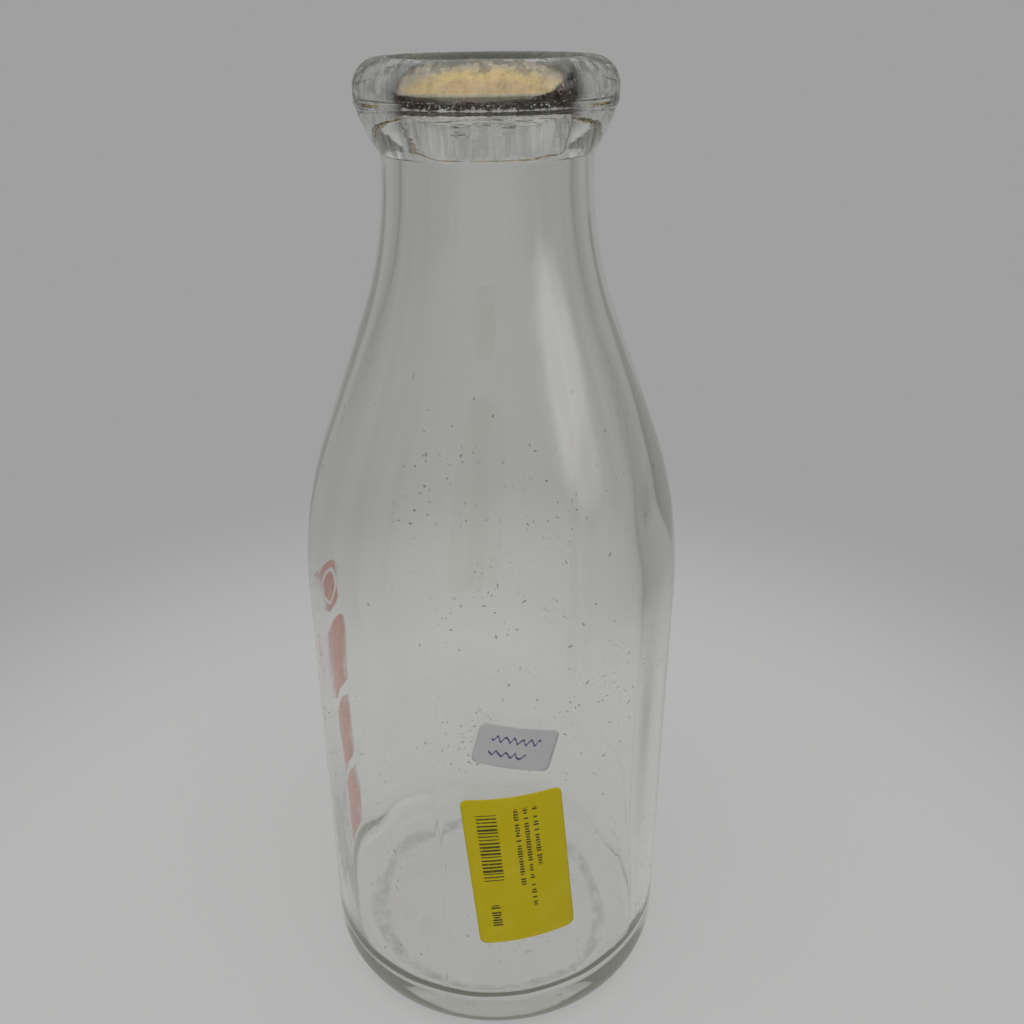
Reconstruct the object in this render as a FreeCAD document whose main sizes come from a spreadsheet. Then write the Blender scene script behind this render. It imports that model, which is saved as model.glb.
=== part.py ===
import FreeCAD, Part
import math
import os

import Sketcher

# Glass milk bottle with a paper disc cap, a fired enamel print and two paper stickers.
# Millimetres. +Z is up, the origin is the centre of the base on the surface that the bottle stands on,
# and the stickers face -Y.

SIZES = {
    # glass: body and base
    "body_radius": 49.3,
    "wall": 4.0,
    "straight_top": 125.5,
    "heel_radius": 12.0,
    "bearing_width": 4.5,
    "push_up": 3.5,
    "base_thickness": 6.0,
    "floor_round": 9.0,
    # glass: shoulder and neck
    "knee_radius": 120.0,
    "shoulder_lean": 20.6,
    "shoulder_radius": 100.0,
    "neck_wall": 4.9,
    "neck_length": 2.4,
    # glass: lip and cap seat
    "collar_height": 9.9,
    "collar_round": 26.0,
    "crease_depth": 0.4,
    "bead_height": 9.7,
    "lip_width": 8.85,
    "crown_inset": 2.75,
    "cap_bore_radius": 20.65,
    "seat_width": 1.25,
    "seat_depth": 8.3,
    # disc cap
    "cap_thickness": 1.3,
    "cap_clearance": 0.25,
    # yellow sticker
    "sticker_thickness": 0.18,
    "glue_line": 0.02,
    "price_width": 25.4,
    "price_height": 49.0,
    "price_corner": 2.0,
    "price_offset": 8.6,
    "price_rise": 27.8,
    "price_tilt": 5.5,
    # small sticker
    "note_width": 19.5,
    "note_height": 12.0,
    "note_corner": 1.6,
    "note_offset": 3.7,
    "note_gap": 8.9,
    "note_tilt": -14.0,
    # enamel print
    "enamel_thickness": 0.15,
    "print_turn": 20.0,
    "print_drop": 4.0,
    "print_rise": 5.0,
    "disc_radius": 5.0,
    "disc_gap": 1.3,
    "ring_stroke": 2.3,
    "bar_width": 14.5,
    "bar_height": 25.0,
    "bar_pitch": 29.0,
}

doc = FreeCAD.newDocument("milk_bottle")
sheet = doc.addObject("Spreadsheet::Sheet", "sizes")
for row, (alias, value) in enumerate(SIZES.items(), start=1):
    sheet.set("A%d" % row, alias)
    sheet.set("B%d" % row, str(value))
    sheet.setAlias("B%d" % row, alias)
doc.recompute()

# The two ends and the centre of a sketch element, and a sketch's own axes, as the solver numbers them.
START, END, CENTRE = range(1, 4)
X_AXIS, Y_AXIS = range(-1, -3, -1)


def size(alias):
    """A size as it stands in the sheet."""
    return float(sheet.get(alias))


def new_body(label):
    """A body whose label names the sub-part."""
    body = doc.addObject("PartDesign::Body", label)
    body.Label = label
    return body


def new_sketch(body, name, plane):
    """A sketch on one of the body's own origin planes."""
    sketch = body.newObject("Sketcher::SketchObject", name)
    support = [item for item in body.Origin.OriginFeatures if item.Role == plane][0]
    sketch.AttachmentSupport = [(support, "")]
    sketch.MapMode = "FlatFace"
    return sketch


def line(sketch, start, end):
    """A straight line between two points."""
    return sketch.addGeometry(Part.LineSegment(FreeCAD.Vector(*start, 0), FreeCAD.Vector(*end, 0)), False)


def arc(sketch, centre, radius, first, last):
    """An arc that runs anticlockwise between two angles in degrees."""
    circle = Part.Circle(FreeCAD.Vector(*centre, 0), FreeCAD.Vector(0, 0, 1), radius)
    return sketch.addGeometry(Part.ArcOfCircle(circle, math.radians(first), math.radians(last)), False)


def tie(sketch, kind, *places):
    """A constraint without a size."""
    sketch.addConstraint(Sketcher.Constraint(kind, *places))


def evaluate(formula):
    """The value of a formula on the sheet."""
    return float(sheet.evalExpression(formula.replace("sizes.", "")))


def measure(sketch, name, formula, kind, *places):
    """A constraint whose size follows a formula on the sheet."""
    index = sketch.addConstraint(Sketcher.Constraint(kind, *places, evaluate(formula)))
    sketch.renameConstraint(index, name)
    sketch.setExpression("Constraints." + name, formula)


def read_off(sketch, name, value, kind, *places):
    """A named size that the finished drawing gives, for other pieces to use."""
    index = sketch.addConstraint(Sketcher.Constraint(kind, *places, value))
    sketch.setDriving(index, False)
    sketch.renameConstraint(index, name)


def revolve_profile(body, sketch, kind, name):
    """A full turn of a profile about its own upright axis, added or cut away."""
    turn = body.newObject(kind, name)
    turn.Profile = sketch
    turn.ReferenceAxis = (sketch, ["V_Axis"])
    turn.Angle = 360.0
    sketch.Visibility = False
    return turn


# Glass bottle
# One profile turned about the axis. The lip is set out from the cap bore, the heights add up from the base
# to the crown, and the inside keeps its distance from the outside along the body and the shoulder.

LIP_RADIUS = "sizes.cap_bore_radius + sizes.lip_width"
CROWN_RADIUS = "sizes.cap_bore_radius + sizes.crown_inset"
THROAT_RADIUS = "sizes.cap_bore_radius - sizes.seat_width"
NECK_RADIUS = THROAT_RADIUS + " + sizes.neck_wall"
FLOOR_HEIGHT = "sizes.push_up + sizes.base_thickness"


def on_circle(centre, radius, degrees):
    """The point of a circle at an angle in degrees."""
    angle = math.radians(degrees)
    return (centre[0] + radius * math.cos(angle), centre[1] + radius * math.sin(angle))


def shoulder_line(knee_centre, knee_radius, lean, hollow_radius, neck):
    """The two ends of the sloping line from the knee arc to the arc that runs on into the neck."""
    foot = on_circle(knee_centre, knee_radius, lean)
    head_radius = neck + hollow_radius * (1 - math.cos(math.radians(lean)))
    head_height = foot[1] + (foot[0] - head_radius) / math.tan(math.radians(lean))
    return foot, (head_radius, head_height)


def draw_bottle_profile(sketch):
    """The half section of the glass, drawn in place and then held by constraints."""
    body = size("body_radius")
    inside = body - size("wall")
    heel = size("heel_radius")
    straight_top = size("straight_top")
    bearing_out = body - heel
    bearing_in = bearing_out - size("bearing_width")
    push_up = size("push_up")
    floor = evaluate(FLOOR_HEIGHT)
    floor_round = size("floor_round")
    bore = size("cap_bore_radius")
    lip = evaluate(LIP_RADIUS)
    crown = evaluate(CROWN_RADIUS)
    throat = evaluate(THROAT_RADIUS)
    neck = evaluate(NECK_RADIUS)
    collar = lip - size("crease_depth")

    dome_radius = (bearing_in ** 2 + push_up ** 2) / (2 * push_up)
    dome_centre = (0, push_up - dome_radius)
    dome_start = math.degrees(math.atan2(-dome_centre[1], bearing_in))

    lean = size("shoulder_lean")
    knee = size("knee_radius")
    knee_centre = (body - knee, straight_top)
    inner_knee = knee - size("wall")
    hollow = size("shoulder_radius")
    hollow_rise = hollow * math.sin(math.radians(lean))
    slope_foot, slope_head = shoulder_line(knee_centre, knee, lean, hollow, neck)
    inner_foot, inner_head = shoulder_line(knee_centre, inner_knee, lean, hollow, throat)
    neck_foot = slope_head[1] + hollow_rise
    throat_foot = inner_head[1] + hollow_rise

    neck_top = neck_foot + size("neck_length")
    crease = neck_top + size("collar_height")
    height = crease + size("bead_height")
    seat = height - size("seat_depth")
    collar_chord = math.hypot(collar - neck, crease - neck_top)
    collar_slope = math.degrees(math.atan2(crease - neck_top, collar - neck))
    collar_half = math.degrees(math.asin(collar_chord / 2 / size("collar_round")))
    collar_first = collar_slope - 90 - collar_half
    collar_centre = on_circle((neck, neck_top), size("collar_round"), collar_first + 180)

    # outside, from the base up
    dome = arc(sketch, dome_centre, dome_radius, dome_start, 90)
    bearing = line(sketch, (bearing_in, 0), (bearing_out, 0))
    heel_arc = arc(sketch, (bearing_out, heel), heel, -90, 0)
    side = line(sketch, (body, heel), (body, straight_top))
    knee_arc = arc(sketch, knee_centre, knee, 0, lean)
    slope = line(sketch, slope_foot, slope_head)
    hollow_arc = arc(sketch, (neck + hollow, neck_foot), hollow, 180, 180 + lean)
    neck_side = line(sketch, (neck, neck_foot), (neck, neck_top))
    collar_last = collar_first + 2 * collar_half
    collar_arc = arc(sketch, collar_centre, size("collar_round"), collar_first, collar_last)
    crease_line = line(sketch, (collar, crease), (lip, crease))
    bead_side = line(sketch, (lip, crease), (lip, height - lip + crown))
    bead_arc = arc(sketch, (crown, height - lip + crown), lip - crown, 0, 90)

    # inside, from the mouth down
    mouth_arc = arc(sketch, (crown, height - crown + bore), crown - bore, 90, 180)
    bore_side = line(sketch, (bore, height - crown + bore), (bore, seat))
    ledge = line(sketch, (bore, seat), (throat, seat))
    throat_side = line(sketch, (throat, seat), (throat, throat_foot))
    inner_hollow_arc = arc(sketch, (throat + hollow, throat_foot), hollow, 180, 180 + lean)
    inner_slope = line(sketch, inner_head, inner_foot)
    inner_knee_arc = arc(sketch, knee_centre, inner_knee, 0, lean)
    inner_side = line(sketch, (inside, straight_top), (inside, floor + floor_round))
    floor_arc = arc(sketch, (inside - floor_round, floor + floor_round), floor_round, -90, 0)
    floor_line = line(sketch, (inside - floor_round, floor), (0, floor))
    axis_line = line(sketch, (0, floor), (0, push_up))

    # corners that stay sharp
    for first, first_end, second, second_end in (
        (dome, START, bearing, START),
        (neck_side, END, collar_arc, START),
        (collar_arc, END, crease_line, START),
        (crease_line, END, bead_side, START),
        (bore_side, END, ledge, START),
        (ledge, END, throat_side, START),
        (floor_line, END, axis_line, START),
        (axis_line, END, dome, END),
    ):
        tie(sketch, "Coincident", first, first_end, second, second_end)

    # joints that run on smoothly
    for first, first_end, second, second_end in (
        (bearing, END, heel_arc, START),
        (heel_arc, END, side, START),
        (side, END, knee_arc, START),
        (knee_arc, END, slope, START),
        (slope, END, hollow_arc, END),
        (hollow_arc, START, neck_side, START),
        (bead_side, END, bead_arc, START),
        (bead_arc, END, mouth_arc, START),
        (mouth_arc, END, bore_side, START),
        (throat_side, END, inner_hollow_arc, START),
        (inner_hollow_arc, END, inner_slope, START),
        (inner_slope, END, inner_knee_arc, END),
        (inner_knee_arc, START, inner_side, START),
        (inner_side, END, floor_arc, END),
        (floor_arc, START, floor_line, START),
    ):
        tie(sketch, "Tangent", first, first_end, second, second_end)

    for upright in (side, neck_side, bead_side, bore_side, throat_side, inner_side):
        tie(sketch, "Vertical", upright)
    for level in (crease_line, ledge, floor_line):
        tie(sketch, "Horizontal", level)
    tie(sketch, "PointOnObject", bearing, START, X_AXIS)
    tie(sketch, "PointOnObject", bearing, END, X_AXIS)
    tie(sketch, "PointOnObject", dome, END, Y_AXIS)
    tie(sketch, "PointOnObject", dome, CENTRE, Y_AXIS)
    tie(sketch, "PointOnObject", floor_line, END, Y_AXIS)
    tie(sketch, "Vertical", bead_arc, CENTRE, bead_arc, END)
    tie(sketch, "Coincident", inner_knee_arc, CENTRE, knee_arc, CENTRE)
    tie(sketch, "Parallel", inner_slope, slope)
    tie(sketch, "Equal", inner_hollow_arc, hollow_arc)

    # sizes
    measure(sketch, "push_up", "sizes.push_up", "DistanceY", dome, END)
    measure(sketch, "bearing_width", "sizes.bearing_width", "DistanceX", bearing, START, bearing, END)
    measure(sketch, "heel_radius", "sizes.heel_radius", "Radius", heel_arc)
    measure(sketch, "body_radius", "sizes.body_radius", "DistanceX", side, END)
    measure(sketch, "straight_top", "sizes.straight_top", "DistanceY", side, END)
    measure(sketch, "knee_radius", "sizes.knee_radius", "Radius", knee_arc)
    measure(sketch, "slope_foot", "sizes.knee_radius * sin(sizes.shoulder_lean * 1 deg)",
            "DistanceY", knee_arc, START, knee_arc, END)
    measure(sketch, "shoulder_radius", "sizes.shoulder_radius", "Radius", hollow_arc)
    measure(sketch, "neck_radius", NECK_RADIUS, "DistanceX", neck_side, END)
    measure(sketch, "neck_length", "sizes.neck_length", "DistanceY", neck_side, START, neck_side, END)
    measure(sketch, "collar_height", "sizes.collar_height", "DistanceY", neck_side, END, crease_line, START)
    measure(sketch, "collar_round", "sizes.collar_round", "Radius", collar_arc)
    measure(sketch, "crease_depth", "sizes.crease_depth", "DistanceX", crease_line, START, crease_line, END)
    measure(sketch, "lip_radius", LIP_RADIUS, "DistanceX", crease_line, END)
    measure(sketch, "crown_radius", CROWN_RADIUS, "DistanceX", bead_arc, END)
    measure(sketch, "bead_height", "sizes.bead_height", "DistanceY", crease_line, END, bead_arc, END)
    measure(sketch, "cap_bore_radius", "sizes.cap_bore_radius", "DistanceX", ledge, START)
    measure(sketch, "seat_depth", "sizes.seat_depth", "DistanceY", ledge, START, bead_arc, END)
    measure(sketch, "throat_radius", THROAT_RADIUS, "DistanceX", ledge, END)
    measure(sketch, "inside_radius", "sizes.body_radius - sizes.wall", "DistanceX", inner_side, END)
    measure(sketch, "floor_round", "sizes.floor_round", "Radius", floor_arc)
    measure(sketch, "floor_height", FLOOR_HEIGHT, "DistanceY", floor_line, END)
    read_off(sketch, "seat_height", seat, "DistanceY", ledge, START)


glass_bottle = new_body("glass_bottle")
bottle_profile = new_sketch(glass_bottle, "bottle_profile", "XZ_Plane")
draw_bottle_profile(bottle_profile)
revolve_profile(glass_bottle, bottle_profile, "PartDesign::Revolution", "bottle_turn")


# Disc cap
# A card disc that drops into the cap bore and lies on the ledge.

disc_cap = new_body("disc_cap")
cap_outline = new_sketch(disc_cap, "cap_outline", "XY_Plane")
rim_circle = Part.Circle(FreeCAD.Vector(0, 0, 0), FreeCAD.Vector(0, 0, 1), size("cap_bore_radius"))
rim = cap_outline.addGeometry(rim_circle)
tie(cap_outline, "Coincident", rim, CENTRE, X_AXIS, START)
measure(cap_outline, "cap_radius", "sizes.cap_bore_radius - sizes.cap_clearance", "Radius", rim)
cap_blank = disc_cap.newObject("PartDesign::Pad", "cap_blank")
cap_blank.Profile = cap_outline
cap_blank.setExpression("Length", "sizes.cap_thickness")
disc_cap.setExpression("Placement.Base.z", "bottle_profile.Constraints.seat_height")


# Skins on the glass
# Each is a prism of its outline, trimmed to a thin layer that lies on the straight wall.


def box(sketch, name, left, right, top):
    """A rectangle that stands on the sketch's level axis; its bounds are sheet formulas."""
    low = evaluate(left)
    high = evaluate(right)
    head_height = evaluate(top)
    foot = line(sketch, (low, 0), (high, 0))
    far = line(sketch, (high, 0), (high, head_height))
    head = line(sketch, (high, head_height), (low, head_height))
    near = line(sketch, (low, head_height), (low, 0))
    for first, second in ((foot, far), (far, head), (head, near), (near, foot)):
        tie(sketch, "Coincident", first, END, second, START)
    tie(sketch, "Horizontal", head)
    tie(sketch, "Vertical", far)
    tie(sketch, "Vertical", near)
    tie(sketch, "PointOnObject", foot, END, X_AXIS)
    tie(sketch, "PointOnObject", foot, START, X_AXIS)
    measure(sketch, name + "_left", left, "DistanceX", foot, START)
    measure(sketch, name + "_right", right, "DistanceX", foot, END)
    measure(sketch, name + "_top", top, "DistanceY", far, END)


def lay_on_wall(body, outline, reverse, back, thickness):
    """Pad an outline out past the wall, then cut away all but the thin layer that lies on the wall."""
    face = "%s + %s" % (back, thickness)
    prism = body.newObject("PartDesign::Pad", body.Label + "_prism")
    prism.Profile = outline
    prism.setExpression("Length", "%s + %s" % (face, thickness))
    prism.Reversed = reverse
    outline.Visibility = False
    rest = new_sketch(body, body.Label + "_rest", "XZ_Plane")
    box(rest, "behind", "0", back, "2 * sizes.straight_top")
    box(rest, "before", face, "2 * (%s)" % face, "2 * sizes.straight_top")
    revolve_profile(body, rest, "PartDesign::Groove", body.Label + "_trim")


def rounded_panel(sketch, name, width, bottom, top, corner):
    """A round-cornered rectangle centred on the sketch's upright axis; its bounds are sheet formulas."""
    half = evaluate(width) / 2
    low = evaluate(bottom)
    high = evaluate(top)
    radius = evaluate(corner)
    foot = line(sketch, (radius - half, low), (half - radius, low))
    right = line(sketch, (half, low + radius), (half, high - radius))
    head = line(sketch, (half - radius, high), (radius - half, high))
    left = line(sketch, (-half, high - radius), (-half, low + radius))
    corners = [
        arc(sketch, (half - radius, low + radius), radius, -90, 0),
        arc(sketch, (half - radius, high - radius), radius, 0, 90),
        arc(sketch, (radius - half, high - radius), radius, 90, 180),
        arc(sketch, (radius - half, low + radius), radius, 180, 270),
    ]
    sides = [foot, right, head, left]
    for index, corner_arc in enumerate(corners):
        tie(sketch, "Tangent", sides[index], END, corner_arc, START)
        tie(sketch, "Tangent", corner_arc, END, sides[(index + 1) % 4], START)
    for corner_arc in corners[1:]:
        tie(sketch, "Equal", corners[0], corner_arc)
    tie(sketch, "Horizontal", head)
    tie(sketch, "Vertical", right)
    tie(sketch, "Vertical", left)
    tie(sketch, "Symmetric", foot, START, foot, END, Y_AXIS)
    measure(sketch, name + "_corner", corner, "Radius", corners[0])
    measure(sketch, name + "_width", width, "DistanceX", left, END, right, START)
    measure(sketch, name + "_height", "%s - (%s)" % (top, bottom), "DistanceY", foot, START, head, END)
    if low == 0:
        tie(sketch, "PointOnObject", foot, START, X_AXIS)
    else:
        measure(sketch, name + "_bottom", bottom, "DistanceY", foot, START)


def make_sticker(label, bottom):
    """A paper sticker on the front of the wall, set out from the middle of its bottom edge."""
    body = new_body(label + "_label")
    outline = new_sketch(body, label + "_outline", "XZ_Plane")
    rounded_panel(outline, label, "sizes.%s_width" % label, "0", "sizes.%s_height" % label,
                  "sizes.%s_corner" % label)
    outline.setExpression("AttachmentOffset.Base.x", "sizes.%s_offset" % label)
    outline.setExpression("AttachmentOffset.Base.y", bottom)
    outline.setExpression("AttachmentOffset.Rotation.Angle", "sizes.%s_tilt" % label)
    lay_on_wall(body, outline, False, "sizes.body_radius + sizes.glue_line", "sizes.sticker_thickness")
    return body


PRICE_BOTTOM = "sizes.heel_radius + sizes.price_rise"

price_label = make_sticker("price", PRICE_BOTTOM)
note_label = make_sticker("note", PRICE_BOTTOM + " + sizes.price_height + sizes.note_gap")


# Enamel print
# A ringed disc above a column of upright bars, turned from the bottle's left towards its back.
# As many bars are drawn as fit between the print's foot and the ring.

RING_RADIUS = "sizes.disc_radius + sizes.disc_gap + sizes.ring_stroke"
DISC_HEIGHT = "sizes.straight_top - sizes.print_drop - (%s)" % RING_RADIUS
BARS_BOTTOM = "sizes.heel_radius + sizes.print_rise"

bars_room = evaluate("%s - (%s) - (%s)" % (DISC_HEIGHT, RING_RADIUS, BARS_BOTTOM))
bar_count = int(bars_room / size("bar_pitch"))

enamel_print = new_body("enamel_print")
enamel_print.AllowCompound = True
print_outline = new_sketch(enamel_print, "print_outline", "YZ_Plane")
for circle_name, formula in (
    ("disc", "sizes.disc_radius"),
    ("ring_inside", "sizes.disc_radius + sizes.disc_gap"),
    ("ring", RING_RADIUS),
):
    centre = FreeCAD.Vector(0, evaluate(DISC_HEIGHT), 0)
    drawn = print_outline.addGeometry(Part.Circle(centre, FreeCAD.Vector(0, 0, 1), evaluate(formula)))
    tie(print_outline, "PointOnObject", drawn, CENTRE, Y_AXIS)
    measure(print_outline, circle_name + "_height", DISC_HEIGHT, "DistanceY", drawn, CENTRE)
    measure(print_outline, circle_name + "_radius", formula, "Radius", drawn)
for bar in range(bar_count):
    bar_bottom = "%s + %d * sizes.bar_pitch" % (BARS_BOTTOM, bar)
    rounded_panel(print_outline, "bar_%d" % (bar + 1), "sizes.bar_width", bar_bottom,
                  bar_bottom + " + sizes.bar_height", "sizes.bar_width / 4")
lay_on_wall(enamel_print, print_outline, True, "sizes.body_radius", "sizes.enamel_thickness")
enamel_print.setExpression("Placement.Rotation.Angle", "-sizes.print_turn")


doc.recompute()

for item in doc.Objects:
    if "Invalid" in item.State or "Error" in item.State:
        raise RuntimeError("%s did not build: %s" % (item.Label, item.State))

os.makedirs("parts", exist_ok=True)
for part in (glass_bottle, disc_cap, enamel_print, price_label, note_label):
    if part.Shape.isNull() or not part.Shape.isValid():
        raise RuntimeError("%s has no valid shape" % part.Label)
    part.Shape.exportStep("parts/%s.step" % part.Label)
    print(part.Label, "solids", len(part.Shape.Solids), "volume", round(part.Shape.Volume, 1))
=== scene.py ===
"""Looks of the glass milk bottle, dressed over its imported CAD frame.

The glass, its card cap, the fired enamel print and the two paper stickers are
made here in metres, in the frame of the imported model, and get node materials.
Azimuths are degrees about +Z, from -Y (the front) towards +X.
"""

from __future__ import annotations

import logging
import math
from dataclasses import dataclass
from enum import Enum
from typing import Any, Callable, Sequence, Union

import bmesh
import bpy
from mathutils import Matrix, Vector

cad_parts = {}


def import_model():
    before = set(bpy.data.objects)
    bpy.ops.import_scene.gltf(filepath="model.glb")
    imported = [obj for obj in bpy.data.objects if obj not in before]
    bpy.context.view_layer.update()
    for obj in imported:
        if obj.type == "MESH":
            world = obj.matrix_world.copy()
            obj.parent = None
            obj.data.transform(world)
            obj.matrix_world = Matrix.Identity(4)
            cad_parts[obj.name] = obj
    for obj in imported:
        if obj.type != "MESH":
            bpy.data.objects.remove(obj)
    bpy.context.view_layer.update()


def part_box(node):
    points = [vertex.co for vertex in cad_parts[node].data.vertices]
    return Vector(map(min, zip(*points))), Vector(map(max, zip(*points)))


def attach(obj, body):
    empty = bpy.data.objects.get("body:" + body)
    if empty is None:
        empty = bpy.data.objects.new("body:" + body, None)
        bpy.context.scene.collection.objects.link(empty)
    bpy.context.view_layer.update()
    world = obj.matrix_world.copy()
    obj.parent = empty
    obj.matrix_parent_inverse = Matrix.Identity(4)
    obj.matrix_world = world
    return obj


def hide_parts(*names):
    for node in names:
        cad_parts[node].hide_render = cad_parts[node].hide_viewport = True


LOG = logging.getLogger("milk_bottle")
SHADE = "shade"
BLACK = (0.0, 0.0, 0.0)
LEAST_RADIUS = 0.001
LAYER_FRONT = 0.00008
LAYER_BACK = 0.00002

Number = Union[float, "Wire"]
Colour = tuple[float, float, float]
Point = tuple[float, float]


class Body(Enum):
    """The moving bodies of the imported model."""

    BOTTLE = "bottle"
    CAP = "cap"


class Slot(Enum):
    """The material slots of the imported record."""

    GLASS = "clear_glass"
    CARD = "waxed_card"
    ENAMEL = "red_enamel"
    YELLOW = "yellow_paper"
    WHITE = "white_paper"


class Wire:
    """A node socket that Python expressions can be written with."""

    def __init__(self, graph: "Graph", socket: bpy.types.NodeSocket) -> None:
        """Keep the socket and the graph that it belongs to."""
        self.graph = graph
        self.socket = socket

    def _math(self, operation: str, *values: Number) -> "Wire":
        """Add a Math node.

        Args:
            operation: the Math node's operation.
            values: its operands in order.

        Returns:
            The node's result.
        """
        made = self.graph.node("ShaderNodeMath", {"operation": operation}, dict(enumerate(values)))
        return self.graph.out(made)

    def __add__(self, other: Number) -> "Wire":
        """The sum."""
        return self._math("ADD", self, other)

    def __radd__(self, other: Number) -> "Wire":
        """The sum, with the number first."""
        return self._math("ADD", other, self)

    def __sub__(self, other: Number) -> "Wire":
        """The difference."""
        return self._math("SUBTRACT", self, other)

    def __rsub__(self, other: Number) -> "Wire":
        """The difference, with the number first."""
        return self._math("SUBTRACT", other, self)

    def __mul__(self, other: Number) -> "Wire":
        """The product."""
        return self._math("MULTIPLY", self, other)

    def __rmul__(self, other: Number) -> "Wire":
        """The product, with the number first."""
        return self._math("MULTIPLY", other, self)

    def __truediv__(self, other: Number) -> "Wire":
        """The quotient."""
        return self._math("DIVIDE", self, other)

    def __neg__(self) -> "Wire":
        """The value with its sign turned."""
        return self._math("MULTIPLY", self, -1.0)

    def __pow__(self, other: Number) -> "Wire":
        """The power."""
        return self._math("POWER", self, other)

    def __abs__(self) -> "Wire":
        """The value without its sign."""
        return self._math("ABSOLUTE", self)

    def least(self, other: Number) -> "Wire":
        """The smaller of two values."""
        return self._math("MINIMUM", self, other)

    def most(self, other: Number) -> "Wire":
        """The larger of two values."""
        return self._math("MAXIMUM", self, other)

    def floor(self) -> "Wire":
        """The whole number below."""
        return self._math("FLOOR", self)

    def fract(self) -> "Wire":
        """What is left above the whole number below."""
        return self._math("FRACT", self)

    def sine(self) -> "Wire":
        """The sine of an angle in radians."""
        return self._math("SINE", self)

    def root(self) -> "Wire":
        """The square root."""
        return self._math("SQRT", self)

    def above(self, edge: Number) -> "Wire":
        """One where the value is over the edge, and zero elsewhere."""
        return self._math("GREATER_THAN", self, edge)

    def rise(self, low: float, high: float) -> "Wire":
        """Run smoothly from zero at low to one at high, which may be the smaller number.

        Args:
            low: the value that gives zero.
            high: the value that gives one.

        Returns:
            The eased value, held between zero and one.
        """
        flip = low > high
        made = self.graph.node(
            "ShaderNodeMapRange",
            {"interpolation_type": "SMOOTHSTEP"},
            {"Value": self, "From Min": min(low, high), "From Max": max(low, high),
             "To Min": 1.0 if flip else 0.0, "To Max": 0.0 if flip else 1.0},
        )
        return self.graph.out(made)

    def within(self, low: float, high: float, soft: float) -> "Wire":
        """One between two values, with soft edges."""
        return self.rise(low - soft, low + soft) * self.rise(high + soft, high - soft)


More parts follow.
